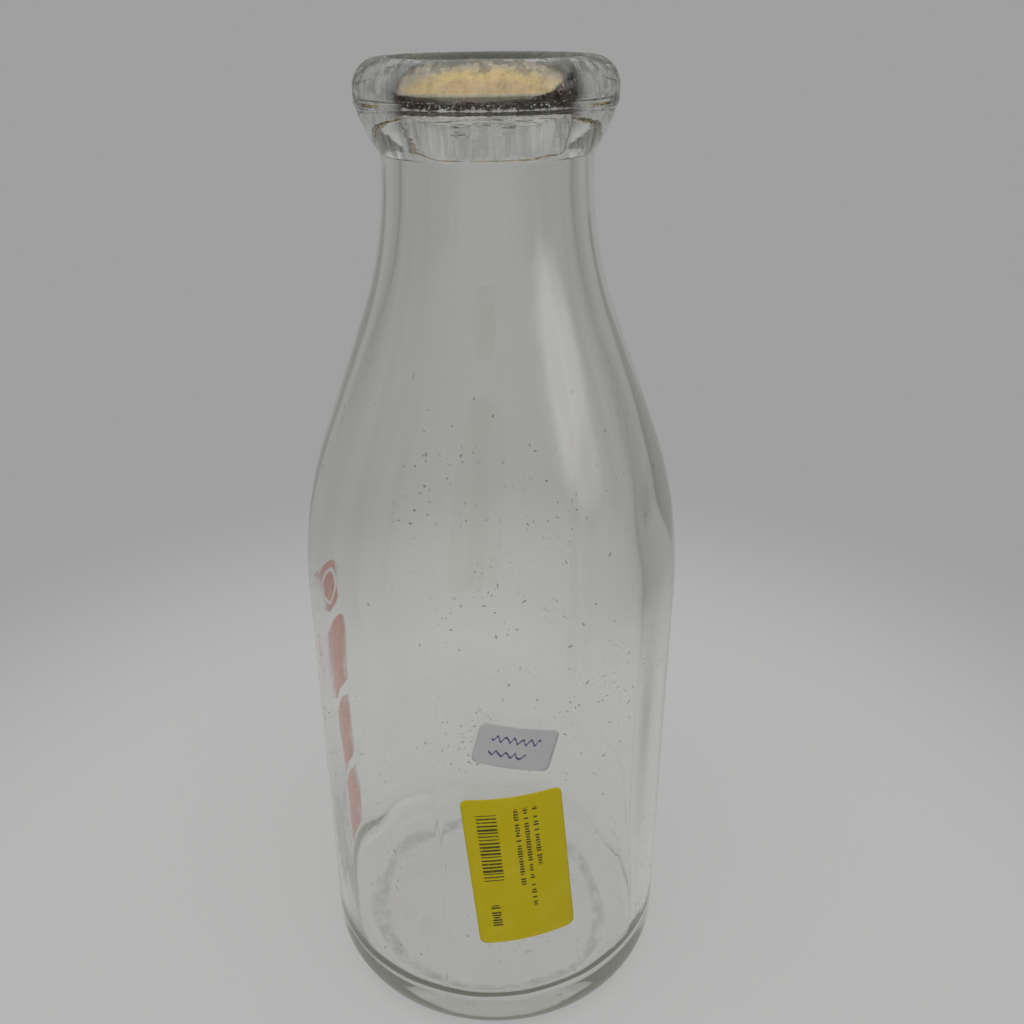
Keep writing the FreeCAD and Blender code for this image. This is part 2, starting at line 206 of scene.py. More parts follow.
class Graph:
    """A node tree and the few ways in which nodes are added to it."""

    def __init__(self, tree: bpy.types.NodeTree) -> None:
        """Keep the tree."""
        self.tree = tree

    @staticmethod
    def _socket(sockets: Any, key: Union[int, str]) -> bpy.types.NodeSocket:
        """Find a socket by its number, its identifier or its name."""
        if isinstance(key, int):
            return sockets[key]
        for socket in sockets:
            if socket.identifier == key:
                return socket
        return sockets[key]

    def node(self, kind: str, settings: dict[str, Any] | None = None,
             sockets: dict[Union[int, str], Any] | None = None) -> bpy.types.Node:
        """Add a node.

        Args:
            kind: the node's type.
            settings: its properties, set first.
            sockets: a value or a link for each input, by number, identifier or name.

        Returns:
            The node.
        """
        made = self.tree.nodes.new(kind)
        for name, value in (settings or {}).items():
            setattr(made, name, value)
        for key, value in (sockets or {}).items():
            socket = self._socket(made.inputs, key)
            if isinstance(value, Wire):
                self.tree.links.new(value.socket, socket)
            elif socket.type == "RGBA" and len(value) == 3:
                socket.default_value = (*value, 1.0)
            else:
                socket.default_value = value
        return made

    def out(self, node: bpy.types.Node, key: Union[int, str] = 0) -> Wire:
        """One of a node's outputs."""
        return Wire(self, self._socket(node.outputs, key))

    def coords(self, kind: str = "Object") -> Wire:
        """The piece's own coordinates, or its UV map."""
        return self.out(self.node("ShaderNodeTexCoord"), kind)

    def split(self, vector: Wire) -> tuple[Wire, Wire, Wire]:
        """The three parts of a vector."""
        made = self.node("ShaderNodeSeparateXYZ", sockets={0: vector})
        return self.out(made, 0), self.out(made, 1), self.out(made, 2)

    def join(self, x: Number, y: Number, z: Number) -> Wire:
        """A vector of three values."""
        return self.out(self.node("ShaderNodeCombineXYZ", sockets={0: x, 1: y, 2: z}))

    def stretch(self, vector: Wire, scale: Sequence[float]) -> Wire:
        """A vector with each part multiplied by its own number."""
        return self.out(self.node("ShaderNodeVectorMath", {"operation": "MULTIPLY"},
                                  {0: vector, 1: tuple(scale)}))

    def radius(self, vector: Wire) -> Wire:
        """The distance from the bottle's axis."""
        x, y, _ = self.split(vector)
        return (x * x + y * y).root()

    def turn(self, vector: Wire, degrees: Sequence[float]) -> Wire:
        """A vector turned about the origin."""
        return self.out(self.node("ShaderNodeMapping", sockets={
            "Vector": vector, "Rotation": tuple(math.radians(d) for d in degrees)}))

    def noise(self, vector: Wire, scale: float, detail: float = 2.0, roughness: float = 0.5) -> Wire:
        """Cloudy noise between zero and one, one half on average."""
        return self.out(self.node("ShaderNodeTexNoise", sockets={
            "Vector": vector, "Scale": scale, "Detail": detail, "Roughness": roughness}))

    def drawn_noise(self, vector: Wire, scale: Sequence[float], detail: float,
                    roughness: float = 0.5) -> Wire:
        """Noise with a scale of its own along each axis."""
        return self.noise(self.stretch(vector, scale), 1.0, detail, roughness)

    def draw(self, cells: Wire, seed: float) -> Wire:
        """A random number for each whole cell."""
        return self.out(self.node("ShaderNodeTexWhiteNoise", {"noise_dimensions": "1D"},
                                  {"W": cells.floor() + seed}))

    def blend(self, factor: Number, first: Union[Colour, Wire], second: Union[Colour, Wire]) -> Wire:
        """A mix of two colours.

        Args:
            factor: zero for the first colour and one for the second.
            first: the colour under the mix.
            second: the colour over it.

        Returns:
            The mixed colour.
        """
        made = self.node("ShaderNodeMix", {"data_type": "RGBA", "blend_type": "MIX"},
                         {"Factor_Float": factor, "A_Color": first, "B_Color": second})
        return self.out(made, "Result_Color")

    def bump(self, height: Wire, distance: float) -> Wire:
        """A normal that follows a height."""
        return self.out(self.node("ShaderNodeBump", sockets={
            "Height": height, "Distance": distance, "Strength": 1.0}))

    def principled(self, sockets: dict[str, Any]) -> Wire:
        """A Principled shader with some of its inputs set."""
        return self.out(self.node("ShaderNodeBsdfPrincipled", sockets=sockets))

    def layer(self, share: Number, under: Wire, over: Wire) -> Wire:
        """One shader laid over another, by its share."""
        return self.out(self.node("ShaderNodeMixShader", sockets={0: share, 1: under, 2: over}))


def against_glass(graph: Graph, wall_radius: float) -> Wire:
    """One on the side of a thin layer that lies against the glass, and zero on its front.

    Args:
        graph: the material's graph.
        wall_radius: the radius of the wall that carries the layer.

    Returns:
        The mask.
    """
    return graph.radius(graph.coords()).rise(wall_radius + LAYER_FRONT, wall_radius + LAYER_BACK)


def soiled_side(graph: Graph, place: Wire) -> Wire:
    """One on the right of the front, where the dirt round the cap is thickest, and zero elsewhere."""
    x, y, _ = graph.split(place)
    return ((0.77 * x - 0.64 * y) / graph.radius(place).most(LEAST_RADIUS)).rise(0.86, 0.97)


def new_material(name: str) -> tuple[bpy.types.Material, Graph]:
    """Make a material with an empty node tree.

    Args:
        name: the material's name.

    Returns:
        The material and its graph.
    """
    material = bpy.data.materials.new(name)
    material.use_nodes = True
    material.node_tree.nodes.clear()
    return material, Graph(material.node_tree)


def set_output(graph: Graph, surface: Wire, volume: Wire | None = None) -> None:
    """End a material's tree in its output node."""
    sockets = {"Surface": surface}
    if volume is not None:
        sockets["Volume"] = volume
    graph.node("ShaderNodeOutputMaterial", sockets=sockets)


@dataclass(frozen=True)
class ClearGlass:
    """Old pressed and blown soda glass, scuffed where bottles knock together."""

    tint: Colour = (0.996, 0.996, 0.980)
    depth_tint: Colour = (0.79, 0.83, 0.66)
    depth_density: float = 6.0
    ior: float = 1.51
    polish: float = 0.012
    haze_roughness: float = 0.020
    bump_depth: float = 0.00006
    inner_turns: int = 3
    trapped: Colour = (0.62, 0.62, 0.59)
    scuff_roughness: float = 0.40
    scuff_colour: Colour = (0.34, 0.34, 0.31)
    scuff_veil: float = 0.005
    scuff_share: float = 0.45
    wear_top: float = 0.150
    wear_fade: float = 0.045
    # The dark grime colour of the dust film, which also paints shade: dark outlines where the glass is seen
    # at grazing angles.
    grime: Colour = (0.130, 0.135, 0.105)
    film: float = 0.005
    film_most: float = 0.7
    edge_shade_slant: float = 1.03
    lip_film: float = 0.15
    lip_bottom: float = 0.2446
    lip_fade: float = 0.004
    crown_film: float = 0.28
    crown_bottom: float = 0.2508
    crown_fade: float = 0.0012
    ring_dirt: Colour = (0.40, 0.31, 0.25)
    ring_share: float = 0.32
    ring_inner: float = 0.0335
    ring_outer: float = 0.0380
    ring_soft: float = 0.0012
    ring_height: Point = (0.0022, 0.0006)
    throat_radius: Point = (0.0215, 0.0205)
    throat_height: Point = (0.214, 0.228)
    crust_dark: Colour = (0.034, 0.019, 0.010)
    crust_brown: Colour = (0.17, 0.105, 0.055)
    # Pale dots in the dirt: pale grains, and painted glints of its sparkle.
    crust_grains_and_glints: Colour = (0.80, 0.76, 0.68)
    crust_relief: float = 0.0004
    crust_radius: float = 0.0208
    crust_low: float = 0.2446
    crust_high: float = 0.2460
    crust_climb: float = 0.0018
    crust_side: float = 0.0013
    crust_fray: float = 0.0016
    crust_soft: float = 0.0002
    crust_foot: Point = (-0.0001, 0.0003)

    def _crust(self, graph: Graph, place: Wire, grain: Wire) -> Wire:
        """Where dried dirt clings round the cap: in a ragged band, higher up on the right.

        Args:
            graph: the material's graph.
            place: the piece's own coordinates.
            grain: fine noise that leaves pinholes in the dirt.

        Returns:
            One in the dirt and zero elsewhere.
        """
        _, y, height = graph.split(place)
        out = graph.radius(place)
        front = -y / out.most(LEAST_RADIUS)
        ragged = (graph.noise(place, 600.0, 3.0) - 0.5) * self.crust_fray
        climb = self.crust_climb * soiled_side(graph, place) + self.crust_side * front.rise(0.82, 0.62)
        under = self.crust_high + climb + ragged - height
        over = height - self.crust_low + ragged
        inside = out.rise(self.crust_radius + self.crust_soft, self.crust_radius) * front.rise(0.54, 0.66)
        band = inside * under.rise(-self.crust_soft, self.crust_soft) * over.rise(*self.crust_foot)
        return band * grain.rise(0.34, 0.42)

    def _bearing(self, graph: Graph, place: Wire) -> Wire:
        """How much dirt is ground into the ring that the bottle stands on."""
        height = graph.split(place)[2]
        ring = graph.radius(place).within(self.ring_inner, self.ring_outer, self.ring_soft)
        worn = graph.noise(place, 180.0, 4.0, 0.65).rise(0.30, 0.65)
        return self.ring_share * ring * height.rise(*self.ring_height) * worn

    def _unevenness(self, graph: Graph, place: Wire) -> Wire:
        """The drawn-out streaks of the wall, and the chatter marks of the plunger in the throat.

        Args:
            graph: the material's graph.
            place: the piece's own coordinates.

        Returns:
            The height of the surface, in parts of the bump's distance.
        """
        height = graph.split(place)[2]
        streaks = graph.drawn_noise(place, (170.0, 170.0, 8.0), 1.0)
        waves = graph.drawn_noise(place, (70.0, 70.0, 25.0), 1.0)
        throat = graph.radius(place).rise(*self.throat_radius) * height.rise(*self.throat_height)
        chatter = graph.drawn_noise(place, (120.0, 120.0, 800.0), 2.0)
        return 0.45 * streaks + 0.35 * waves + 0.3 * throat * chatter

    def _scuffs(self, graph: Graph, place: Wire, wear_zone: Wire) -> Wire:
        """Pits and scratches in patches, where bottles knock together.

        Args:
            graph: the material's graph.
            place: the piece's own coordinates.
            wear_zone: one where the wall is knocked.

        Returns:
            One in a scuff and zero elsewhere.
        """
        patches = graph.noise(place, 42.0, 3.0).rise(0.50, 0.66)
        pits = graph.noise(place, 1250.0, 2.0).rise(0.685, 0.73)
        strokes = graph.drawn_noise(graph.turn(place, (8.0, 0.0, 0.0)), (260.0, 260.0, 2600.0), 1.0)
        scratches = strokes.rise(0.70, 0.74) * graph.noise(place, 70.0).rise(0.52, 0.60)
        return ((pits + scratches) * patches * wear_zone).least(1.0)

    def _dust_and_edge_shade(self, graph: Graph, place: Wire) -> Wire:
        """The film of dust, thicker on the lip, that a slanting ray passes more of; its dark colour rising
        towards grazing angles is also painted shade that draws dark outlines along the silhouettes.

        Args:
            graph: the material's graph.
            place: the piece's own coordinates.

        Returns:
            The share of the light that the film takes.
        """
        height = graph.split(place)[2]
        mottle = graph.noise(place, 520.0, 4.0, 0.7).rise(0.44, 0.62)
        lip = height.rise(self.lip_bottom - self.lip_fade, self.lip_bottom)
        crown = height.rise(self.crown_bottom, self.crown_bottom + self.crown_fade)
        chips = crown * graph.noise(place, 380.0, 3.0).rise(0.48, 0.56)
        runs = graph.drawn_noise(place, (260.0, 260.0, 9.0), 3.0)
        facing = graph.out(graph.node("ShaderNodeLayerWeight", sockets={"Blend": 0.5}), "Facing")
        film = self.film * (0.3 + 1.4 * runs) + lip * self.lip_film * mottle + self.crown_film * chips
        return (film / (self.edge_shade_slant - facing)).least(self.film_most)

    def material(self) -> bpy.types.Material:
        """The glass with its scuffs, its film of dust, which also paints dark outlines at grazing angles, and
        the dirt round the cap.

        Returns:
            The material.
        """
        material, graph = new_material("clear_glass")
        place = graph.coords()
        wear_zone = graph.split(place)[2].rise(self.wear_top, self.wear_top - self.wear_fade)
        scuffs = self._scuffs(graph, place, wear_zone)
        haze = graph.noise(place, 14.0, 4.0).rise(0.40, 0.75) * wear_zone
        glass = graph.principled({
            "Base Color": self.tint, "Transmission Weight": 1.0, "IOR": self.ior,
            "Roughness": self.polish + self.haze_roughness * haze + self.scuff_roughness * scuffs,
            "Normal": graph.bump(self._unevenness(graph, place), self.bump_depth)})
        chalk = graph.principled({"Base Color": self.scuff_colour, "Roughness": 0.8})
        grime = graph.principled({"Base Color": self.grime, "Roughness": 0.7})
        sooty = graph.principled({"Base Color": self.ring_dirt, "Roughness": 0.8})
        grain = graph.noise(place, 1900.0, 2.0)
        mottle = graph.noise(place, 900.0, 3.0).rise(0.40, 0.66)
        brown = graph.blend(mottle, self.crust_dark, self.crust_brown)
        # The pale dots are pale grains of the dirt and also painted glints.
        dirt = graph.principled({
            "Base Color": graph.blend(grain.rise(0.66, 0.70), brown, self.crust_grains_and_glints), "Roughness": 0.5,
            "Normal": graph.bump(grain, self.crust_relief)})
        clear = graph.out(graph.node("ShaderNodeBsdfTransparent", sockets={"Color": self.trapped}))
        turns = graph.out(graph.node("ShaderNodeLightPath"), "Glossy Depth")
        surface = graph.layer((self.scuff_veil + self.scuff_share * scuffs).least(1.0), glass, chalk)
        # Dust film, and painted shade: the dark grime darkens the silhouettes at grazing angles.
        surface = graph.layer(self._dust_and_edge_shade(graph, place), surface, grime)
        surface = graph.layer(self._bearing(graph, place), surface, sooty)
        surface = graph.layer(self._crust(graph, place, grain), surface, dirt)
        surface = graph.layer(turns.above(self.inner_turns - 0.5), surface, clear)
        depth = graph.node("ShaderNodeVolumeAbsorption", sockets={
            "Color": self.depth_tint, "Density": self.depth_density})
        set_output(graph, surface, graph.out(depth))
        return material


@dataclass(frozen=True)
class WaxedCard:
    """Tan card with a crescent of yellowed wax and dust at the front, browned at the rim, with painted light
    glowing from its grey underside.
    """

    tan: Colour = (0.76, 0.49, 0.20)
    pale: Colour = (0.84, 0.60, 0.28)
    wax: Colour = (0.86, 0.63, 0.24)
    dust: Colour = (0.60, 0.55, 0.48)
    stain: Colour = (0.060, 0.038, 0.024)
    liner: Colour = (0.50, 0.49, 0.45)
    liner_stain: Colour = (0.12, 0.065, 0.040)
    # Painted light: the glow given to the grey underside of the card.
    liner_painted_light: Colour = (0.250, 0.248, 0.232)
    relief: float = 0.00012
    middle: float = 0.2463
    under_soft: float = 0.0004
    wax_start: float = 0.0144
    wax_soft: float = 0.0001
    wax_fray: float = 0.0018
    dust_start: float = 0.0157
    dust_from: float = -0.0008
    dust_to: float = 0.0012
    dust_share: float = 0.8
    crescent: float = 24.0
    stain_start: float = 0.0200
    stain_soft: float = 0.0006
    stain_reach: float = 0.0012
    stain_fray: float = 0.0012
    soak_top: float = 0.2463
    soak_climb: float = 3.0
    soak_soft: float = 0.0001

    def _rim_stain(self, graph: Graph, place: Wire, clouds: Wire) -> Wire:
        """Where the rim has soaked up dirt, further in on the right and lower down in the middle.

        Args:
            graph: the material's graph.
            place: the piece's own coordinates.
            clouds: the noise that frays the edge of the stain.

        Returns:
            One in the stain and zero elsewhere.
        """
        x, _, z = graph.split(place)
        fray = (clouds - 0.5) * self.stain_fray
        reach = graph.radius(place) + fray + self.stain_reach * soiled_side(graph, place)
        soak = self.soak_top + self.soak_climb * x * x + fray - z
        return (reach.rise(self.stain_start - self.stain_soft, self.stain_start + self.stain_soft)
                * soak.rise(-self.soak_soft, self.soak_soft))

    def material(self) -> bpy.types.Material:
        """The card with its fibres, its stain and its wax, and painted light on its underside.

        Returns:
            The material.
        """
        material, graph = new_material("waxed_card")
        place = graph.coords()
        x, y, z = graph.split(place)
        fibres = graph.drawn_noise(graph.turn(place, (0.0, 0.0, 24.0)), (420.0, 2600.0, 900.0), 3.0)
        clouds = graph.noise(place, 120.0, 4.0, 0.6)
        front = (clouds - 0.5) * self.wax_fray - y + self.crescent * x * x
        rim_stain = self._rim_stain(graph, place, clouds)
        grain = graph.noise(place, 2200.0, 2.0)
        waxed = front.rise(self.wax_start - self.wax_soft, self.wax_start + self.wax_soft)
        dusty = front.rise(self.dust_start + self.dust_from, self.dust_start + self.dust_to) * self.dust_share
        card = graph.blend(clouds.rise(0.35, 0.70), self.tan, self.pale)
        card = graph.blend(waxed, card, self.wax)
        card = graph.blend(fibres.rise(0.55, 0.75) * 0.35, card, self.stain)
        card = graph.blend(dusty, card, self.dust)
        lines = graph.drawn_noise(place, (45.0, 700.0, 1.0), 2.0).rise(0.54, 0.62)
        under = z.rise(self.middle, self.middle - self.under_soft)
        card = graph.blend(under, card, graph.blend(lines, self.liner, self.liner_stain))
        # The underside glows with painted light, away from its stain lines and rim stain, so that it looks
        # lit though it lies in shade inside the bottle.
        painted_light_share = under * (1.0 - lines) * (1.0 - rim_stain)
        surface = graph.principled({
            "Base Color": graph.blend(rim_stain * (0.75 + 0.5 * (grain - 0.5)), card, self.stain),
            "Roughness": 0.42 + 0.35 * rim_stain + 0.2 * (fibres - 0.5),
            "Coat Weight": 0.35 * (1.0 - rim_stain), "Coat Roughness": 0.25,
            "Emission Color": graph.blend(painted_light_share, BLACK, self.liner_painted_light), "Emission Strength": 1.0,
            "Normal": graph.bump(fibres * 0.6 + grain * rim_stain, self.relief)})
        set_output(graph, surface)
        return material


@dataclass(frozen=True)
class RedEnamel:
    """Fired red enamel with worn and pinholed places, and painted light glowing on its side against the
    glass.
    """

    wall_radius: float
    red: Colour = (0.56, 0.12, 0.09)
    thin: Colour = (0.68, 0.28, 0.22)
    # Painted light: the glow on the side of the enamel that lies against the glass.
    painted_back_glow: Colour = (0.225, 0.125, 0.105)
    relief: float = 0.00004
    turn: float = 20.0
    worn_from: float = 0.0030
    worn_to: float = 0.0078
    worn_fray: float = 0.006

    def material(self) -> bpy.types.Material:
        """The enamel with its wear, and painted light on its back.

        Returns:
            The material.
        """
        material, graph = new_material("red_enamel")
        place = graph.coords()
        clouds = graph.noise(place, 110.0, 4.0, 0.6)
        pinholes = graph.noise(place, 1500.0, 1.0).rise(0.70, 0.73)
        rubbed = graph.drawn_noise(place, (500.0, 500.0, 90.0), 4.0, 0.65)
        along = graph.split(graph.turn(place, (0.0, 0.0, self.turn)))[1]
        side = abs(along) + self.worn_fray * (rubbed - 0.5)
        bare = (pinholes + rubbed.rise(0.57, 0.66) * clouds.rise(0.42, 0.60)).least(1.0)
        cover = side.rise(self.worn_to, self.worn_from) * (1.0 - 0.8 * bare) * clouds.rise(0.12, 0.50)
        back = against_glass(graph, self.wall_radius)
        surface = graph.principled({
            "Base Color": graph.blend(clouds.rise(0.35, 0.68), self.red, self.thin),
            "Roughness": 0.28 + 0.25 * rubbed, "Alpha": cover,
            # Painted light: the side against the glass glows.
            "Emission Color": graph.blend(back, BLACK, self.painted_back_glow), "Emission Strength": 1.0,
            "Normal": graph.bump(clouds + 0.4 * rubbed, self.relief)})
        set_output(graph, surface)
        return material


@dataclass(frozen=True)
class PricePaper:
    """Coated yellow label stock with thermal marks that spell nothing."""

    wall_radius: float
    yellow: Colour = (0.66, 0.53, 0.003)
    faded: Colour = (0.70, 0.58, 0.030)
    ink: Colour = (0.030, 0.028, 0.016)
    ink_share: float = 0.93
    backing: Colour = (0.60, 0.55, 0.30)
    # Painted light: the glow on the side of the label that lies against the glass.
    painted_back_glow: Colour = (0.155, 0.130, 0.030)
    relief: float = 0.00003
    width: float = 0.0254
    height: float = 0.0490
    mark_soft: float = 0.00008
    bar_cell: float = 0.00115
    bar_across: Point = (0.0034, 0.0086)
    bar_along: Point = (0.0050, 0.0270)
    bar_seed: float = 17.0
    dash_cell: float = 0.00088
    dash_soft: float = 0.00006
    columns: Sequence[tuple[Point, Point, float]] = (
        ((0.0128, 0.0142), (0.0040, 0.0300), 3.0),
        ((0.0152, 0.0166), (0.0040, 0.0380), 31.0),
        ((0.0176, 0.0190), (0.0040, 0.0240), 57.0),
        ((0.0040, 0.0068), (0.0355, 0.0440), 83.0),
    )

    def _bars(self, graph: Graph, across: Wire, along: Wire) -> Wire:
        """A block of cross bars of uneven width."""
        cells = along / self.bar_cell
        draw = graph.draw(cells, self.bar_seed)
        bars = cells.fract().rise(0.12, 0.22) * (0.42 + 0.50 * draw - cells.fract()).rise(-0.04, 0.04)
        inside = across.within(*self.bar_across, self.mark_soft)
        return bars * inside * along.within(*self.bar_along, self.mark_soft)

    def _dashes(self, graph: Graph, across: Wire, along: Wire, sides: Point, ends: Point,
                seed: float) -> Wire:
        """A column of short dashes with gaps, as a line of print looks from afar.

        Args:
            graph: the material's graph.
            across: the distance from the label's left edge.
            along: the distance from its upper edge.
            sides: where the column lies across the label.
            ends: where it starts and ends along the label.
            seed: the number that its dashes are drawn by.

        Returns:
            One in a dash and zero elsewhere.
        """
        cells = along / self.dash_cell
        draw = graph.draw(cells, seed)
        blocks = draw.above(0.16) * cells.fract().within(0.14, 0.78, 0.06)
        middle = (sides[0] + sides[1]) / 2
        half = (sides[1] - sides[0]) / 2
        reach = half * (0.55 + 0.45 * (draw * 7.0).fract())
        ragged = (reach - abs(across - middle)).rise(-self.dash_soft, self.dash_soft)
        return blocks * ragged * along.within(*ends, self.mark_soft)

    def material(self) -> bpy.types.Material:
        """The label with its marks, and painted light on its back.

        Returns:
            The material.
        """
        material, graph = new_material("yellow_paper")
        u, v, _ = graph.split(graph.coords("UV"))
        across = u * self.width
        along = (1.0 - v) * self.height
        flat = graph.join(across, along, 0.0)
        marks = self._bars(graph, across, along)
        for sides, ends, seed in self.columns:
            marks = marks.most(self._dashes(graph, across, along, sides, ends, seed))
        wear = graph.noise(flat, 900.0, 3.0)
        clouds = graph.noise(flat, 130.0, 3.0)
        fibres = graph.drawn_noise(flat, (2600.0, 900.0, 1.0), 2.0)
        rubbed = (abs(u - 0.5).most(abs(v - 0.5))).rise(0.470, 0.498) * wear.rise(0.42, 0.60)
        back = against_glass(graph, self.wall_radius)
        paper = graph.blend(clouds.rise(0.40, 0.70) * 0.6, self.yellow, self.faded)
        paper = graph.blend(rubbed * 0.7, paper, self.faded)
        paper = graph.blend(marks * wear.rise(0.20, 0.45) * self.ink_share, paper, self.ink)
        surface = graph.principled({
            "Base Color": graph.blend(back * (0.85 - 0.4 * clouds), paper, self.backing),
            "Roughness": 0.48 + 0.15 * (fibres - 0.5) + 0.1 * rubbed, "Specular IOR Level": 0.2,
            # Painted light: the side against the glass glows.
            "Emission Color": graph.blend(back, BLACK, self.painted_back_glow), "Emission Strength": 1.0,
            "Normal": graph.bump(fibres + 0.5 * clouds, self.relief)})
        set_output(graph, surface)
        return material


@dataclass(frozen=True)
class NotePaper:
    """Matt white sticker stock with two idle waves of blue pen."""

    wall_radius: float
    white: Colour = (0.60, 0.60, 0.60)
    grey: Colour = (0.54, 0.54, 0.55)
    pen: Colour = (0.035, 0.030, 0.20)
    pen_share: float = 0.9
    # Painted light: the glow on the side of the sticker that lies against the glass.
    painted_back_glow: Colour = (0.160, 0.160, 0.155)
    relief: float = 0.00004
    width: float = 0.0195
    height: float = 0.0120
    stroke: float = 0.00021
    stroke_edge: Point = (-0.00004, 0.00006)
    stroke_ends: float = 0.0001
    upper_wave: Sequence[float] = (0.0082, 0.0035, 0.0155, 0.0021, 0.0011)
    lower_wave: Sequence[float] = (0.0038, 0.0035, 0.0128, 0.0024, 0.0010)

    def _wave(self, graph: Graph, across: Wire, along: Wire, wave: Sequence[float]) -> Wire:
        """A pen line that wanders about a level between two ends.

        Args:
            graph: the material's graph.
            across: the distance from the sticker's left edge.
            along: the distance from its lower edge.
            wave: the line's level, its two ends, its pitch and its lift.

        Returns:
            One in the line and zero elsewhere.
        """
        level, first, last, pitch, lift = wave
        sway = graph.noise(graph.join(across, level * 50.0, 0.0), 420.0, 1.0) - 0.5
        line = (across * (2 * math.pi / pitch) + sway * 5.0).sine() * (lift * (0.7 + 1.2 * sway)) + level
        near = (self.stroke - abs(along - line) * 0.6).rise(*self.stroke_edge)
        return near * across.within(first, last, self.stroke_ends)

    def material(self) -> bpy.types.Material:
        """The sticker with its pen lines, and painted light on its back.

        Returns:
            The material.
        """
        material, graph = new_material("white_paper")
        u, v, _ = graph.split(graph.coords("UV"))
        across = u * self.width
        along = v * self.height
        flat = graph.join(across, along, 0.0)
        pen = self._wave(graph, across, along, self.upper_wave)
        pen = pen.most(self._wave(graph, across, along, self.lower_wave))
        clouds = graph.noise(flat, 160.0, 3.0)
        fibres = graph.drawn_noise(flat, (900.0, 2600.0, 1.0), 2.0)
        grime = (abs(u - 0.5).most(abs(v - 0.5))).rise(0.45, 0.50) * clouds.rise(0.35, 0.60)
        paper = graph.blend(clouds.rise(0.38, 0.70) * 0.5 + 0.4 * grime, self.white, self.grey)
        back = against_glass(graph, self.wall_radius)
        inked = pen * fibres.rise(0.15, 0.42) * self.pen_share * (1.0 - 0.9 * back)
        surface = graph.principled({
            "Base Color": graph.blend(inked, paper, self.pen), "Roughness": 0.62 + 0.2 * (fibres - 0.5),
            # Painted light: the side against the glass glows.
            "Emission Color": graph.blend(back, BLACK, self.painted_back_glow), "Emission Strength": 1.0,
            "Normal": graph.bump(fibres + 0.4 * clouds, self.relief)})
        set_output(graph, surface)
        return material


@dataclass(frozen=True)
class DriedDirt:
    """Dried specks of lime and dirt, each its own shade."""

    dark: Colour = (0.29, 0.285, 0.26)
    pale: Colour = (0.66, 0.65, 0.61)

    def material(self) -> bpy.types.Material:
        """The specks.

        Returns:
            The material.
        """
        material, graph = new_material("dried_dirt")
        shade = graph.out(graph.node("ShaderNodeAttribute", {"attribute_name": SHADE}), "Fac")
        grain = graph.noise(graph.coords(), 3000.0, 2.0)
        surface = graph.principled({
            "Base Color": graph.blend((shade + 0.3 * (grain - 0.5)).rise(0.35, 0.65), self.dark, self.pale),
            "Roughness": 0.6 + 0.4 * grain, "Alpha": 0.24 + 0.38 * shade})
        set_output(graph, surface)
        return material


def add_object(name: str, mesh: bpy.types.Mesh,
               material: bpy.types.Material | None = None) -> bpy.types.Object:
    """Put a mesh into the scene, at the origin.

    Args:
        name: the piece's name.
        mesh: its mesh, already in place.
        material: its finish.

    Returns:
        The object.
    """
    made = bpy.data.objects.new(name, mesh)
    bpy.context.scene.collection.objects.link(made)
    if material is not None:
        mesh.materials.clear()
        mesh.materials.append(material)
    return made


def mesh_of(bm: bmesh.types.BMesh, name: str, smooth: bool = True) -> bpy.types.Mesh:
    """Turn an edit mesh into a mesh with its faces pointing outwards.

    Args:
        bm: the edit mesh, which is freed.
        name: the mesh's name.
        smooth: whether its faces are shaded smooth.

    Returns:
        The mesh.
    """
    bmesh.ops.recalc_face_normals(bm, faces=bm.faces)
    mesh = bpy.data.meshes.new(name)
    bm.to_mesh(mesh)
    bm.free()
    if smooth:
        mesh.shade_smooth()
    else:
        mesh.shade_flat()
    return mesh


def ease(low: float, high: float, value: float) -> float:
    """Run smoothly from zero at low to one at high."""
    share = min(1.0, max(0.0, (value - low) / (high - low)))
    return share * share * (3 - 2 * share)


def arc_points(centre: Point, radius: float, first: float, last: float, step: float) -> list[Point]:
    """Points along an arc.

    Args:
        centre: the arc's centre.
        radius: its radius.
        first: the angle where it starts, in degrees.
        last: the angle where it ends, in degrees.
        step: the distance between points.

    Returns:
        The points, both ends among them.
    """
    count = max(2, math.ceil(abs(math.radians(last - first)) * radius / step))
    angles = [math.radians(first + (last - first) * i / count) for i in range(count + 1)]
    return [(centre[0] + radius * math.cos(a), centre[1] + radius * math.sin(a)) for a in angles]


def round_corners(points: list[Point], step: float, spread: float) -> list[Point]:
    """Even out a path and round its corners.

    Args:
        points: the path.
        step: the distance between the points that come back.
        spread: about how far from a corner the rounding reaches.

    Returns:
        The rounded path, with its two ends where they were.
    """
    dense: list[Point] = []
    for (x0, y0), (x1, y1) in zip(points, points[1:]):
        count = max(1, round(math.hypot(x1 - x0, y1 - y0) / step))
        dense += [(x0 + (x1 - x0) * i / count, y0 + (y1 - y0) * i / count) for i in range(count)]
    dense.append(points[-1])
    reach = max(1, round(2 * spread / step))
    weights = [math.exp(-0.5 * (2 * k / reach) ** 2) for k in range(-reach, reach + 1)]
    rounded: list[Point] = []
    for i in range(len(dense)):
        room = min(i, len(dense) - 1 - i, reach)
        share = weights[reach - room:reach + room + 1]
        near = dense[i - room:i + room + 1]
        rounded.append(tuple(sum(w * p[axis] for w, p in zip(share, near)) / sum(share) for axis in (0, 1)))
    return rounded


def thin_out(points: list[Point], longest: float, bend: float) -> list[int]:
    """Choose the points of a dense path that hold its shape.

    Args:
        points: the dense path.
        longest: the longest step between kept points.
        bend: the largest turn between kept points, in degrees.

    Returns:
        The numbers of the points to keep.
    """
    headings = [math.atan2(b[1] - a[1], b[0] - a[0]) for a, b in zip(points, points[1:])]
    kept, run, turned = [0], 0.0, 0.0
    for i in range(1, len(points) - 1):
        run += math.dist(points[i - 1], points[i])
        turn = headings[i] - headings[i - 1]
        turned += abs(math.remainder(turn, 2 * math.pi))
        if run >= longest or turned >= math.radians(bend):
            kept.append(i)
            run, turned = 0.0, 0.0
    return kept + [len(points) - 1]


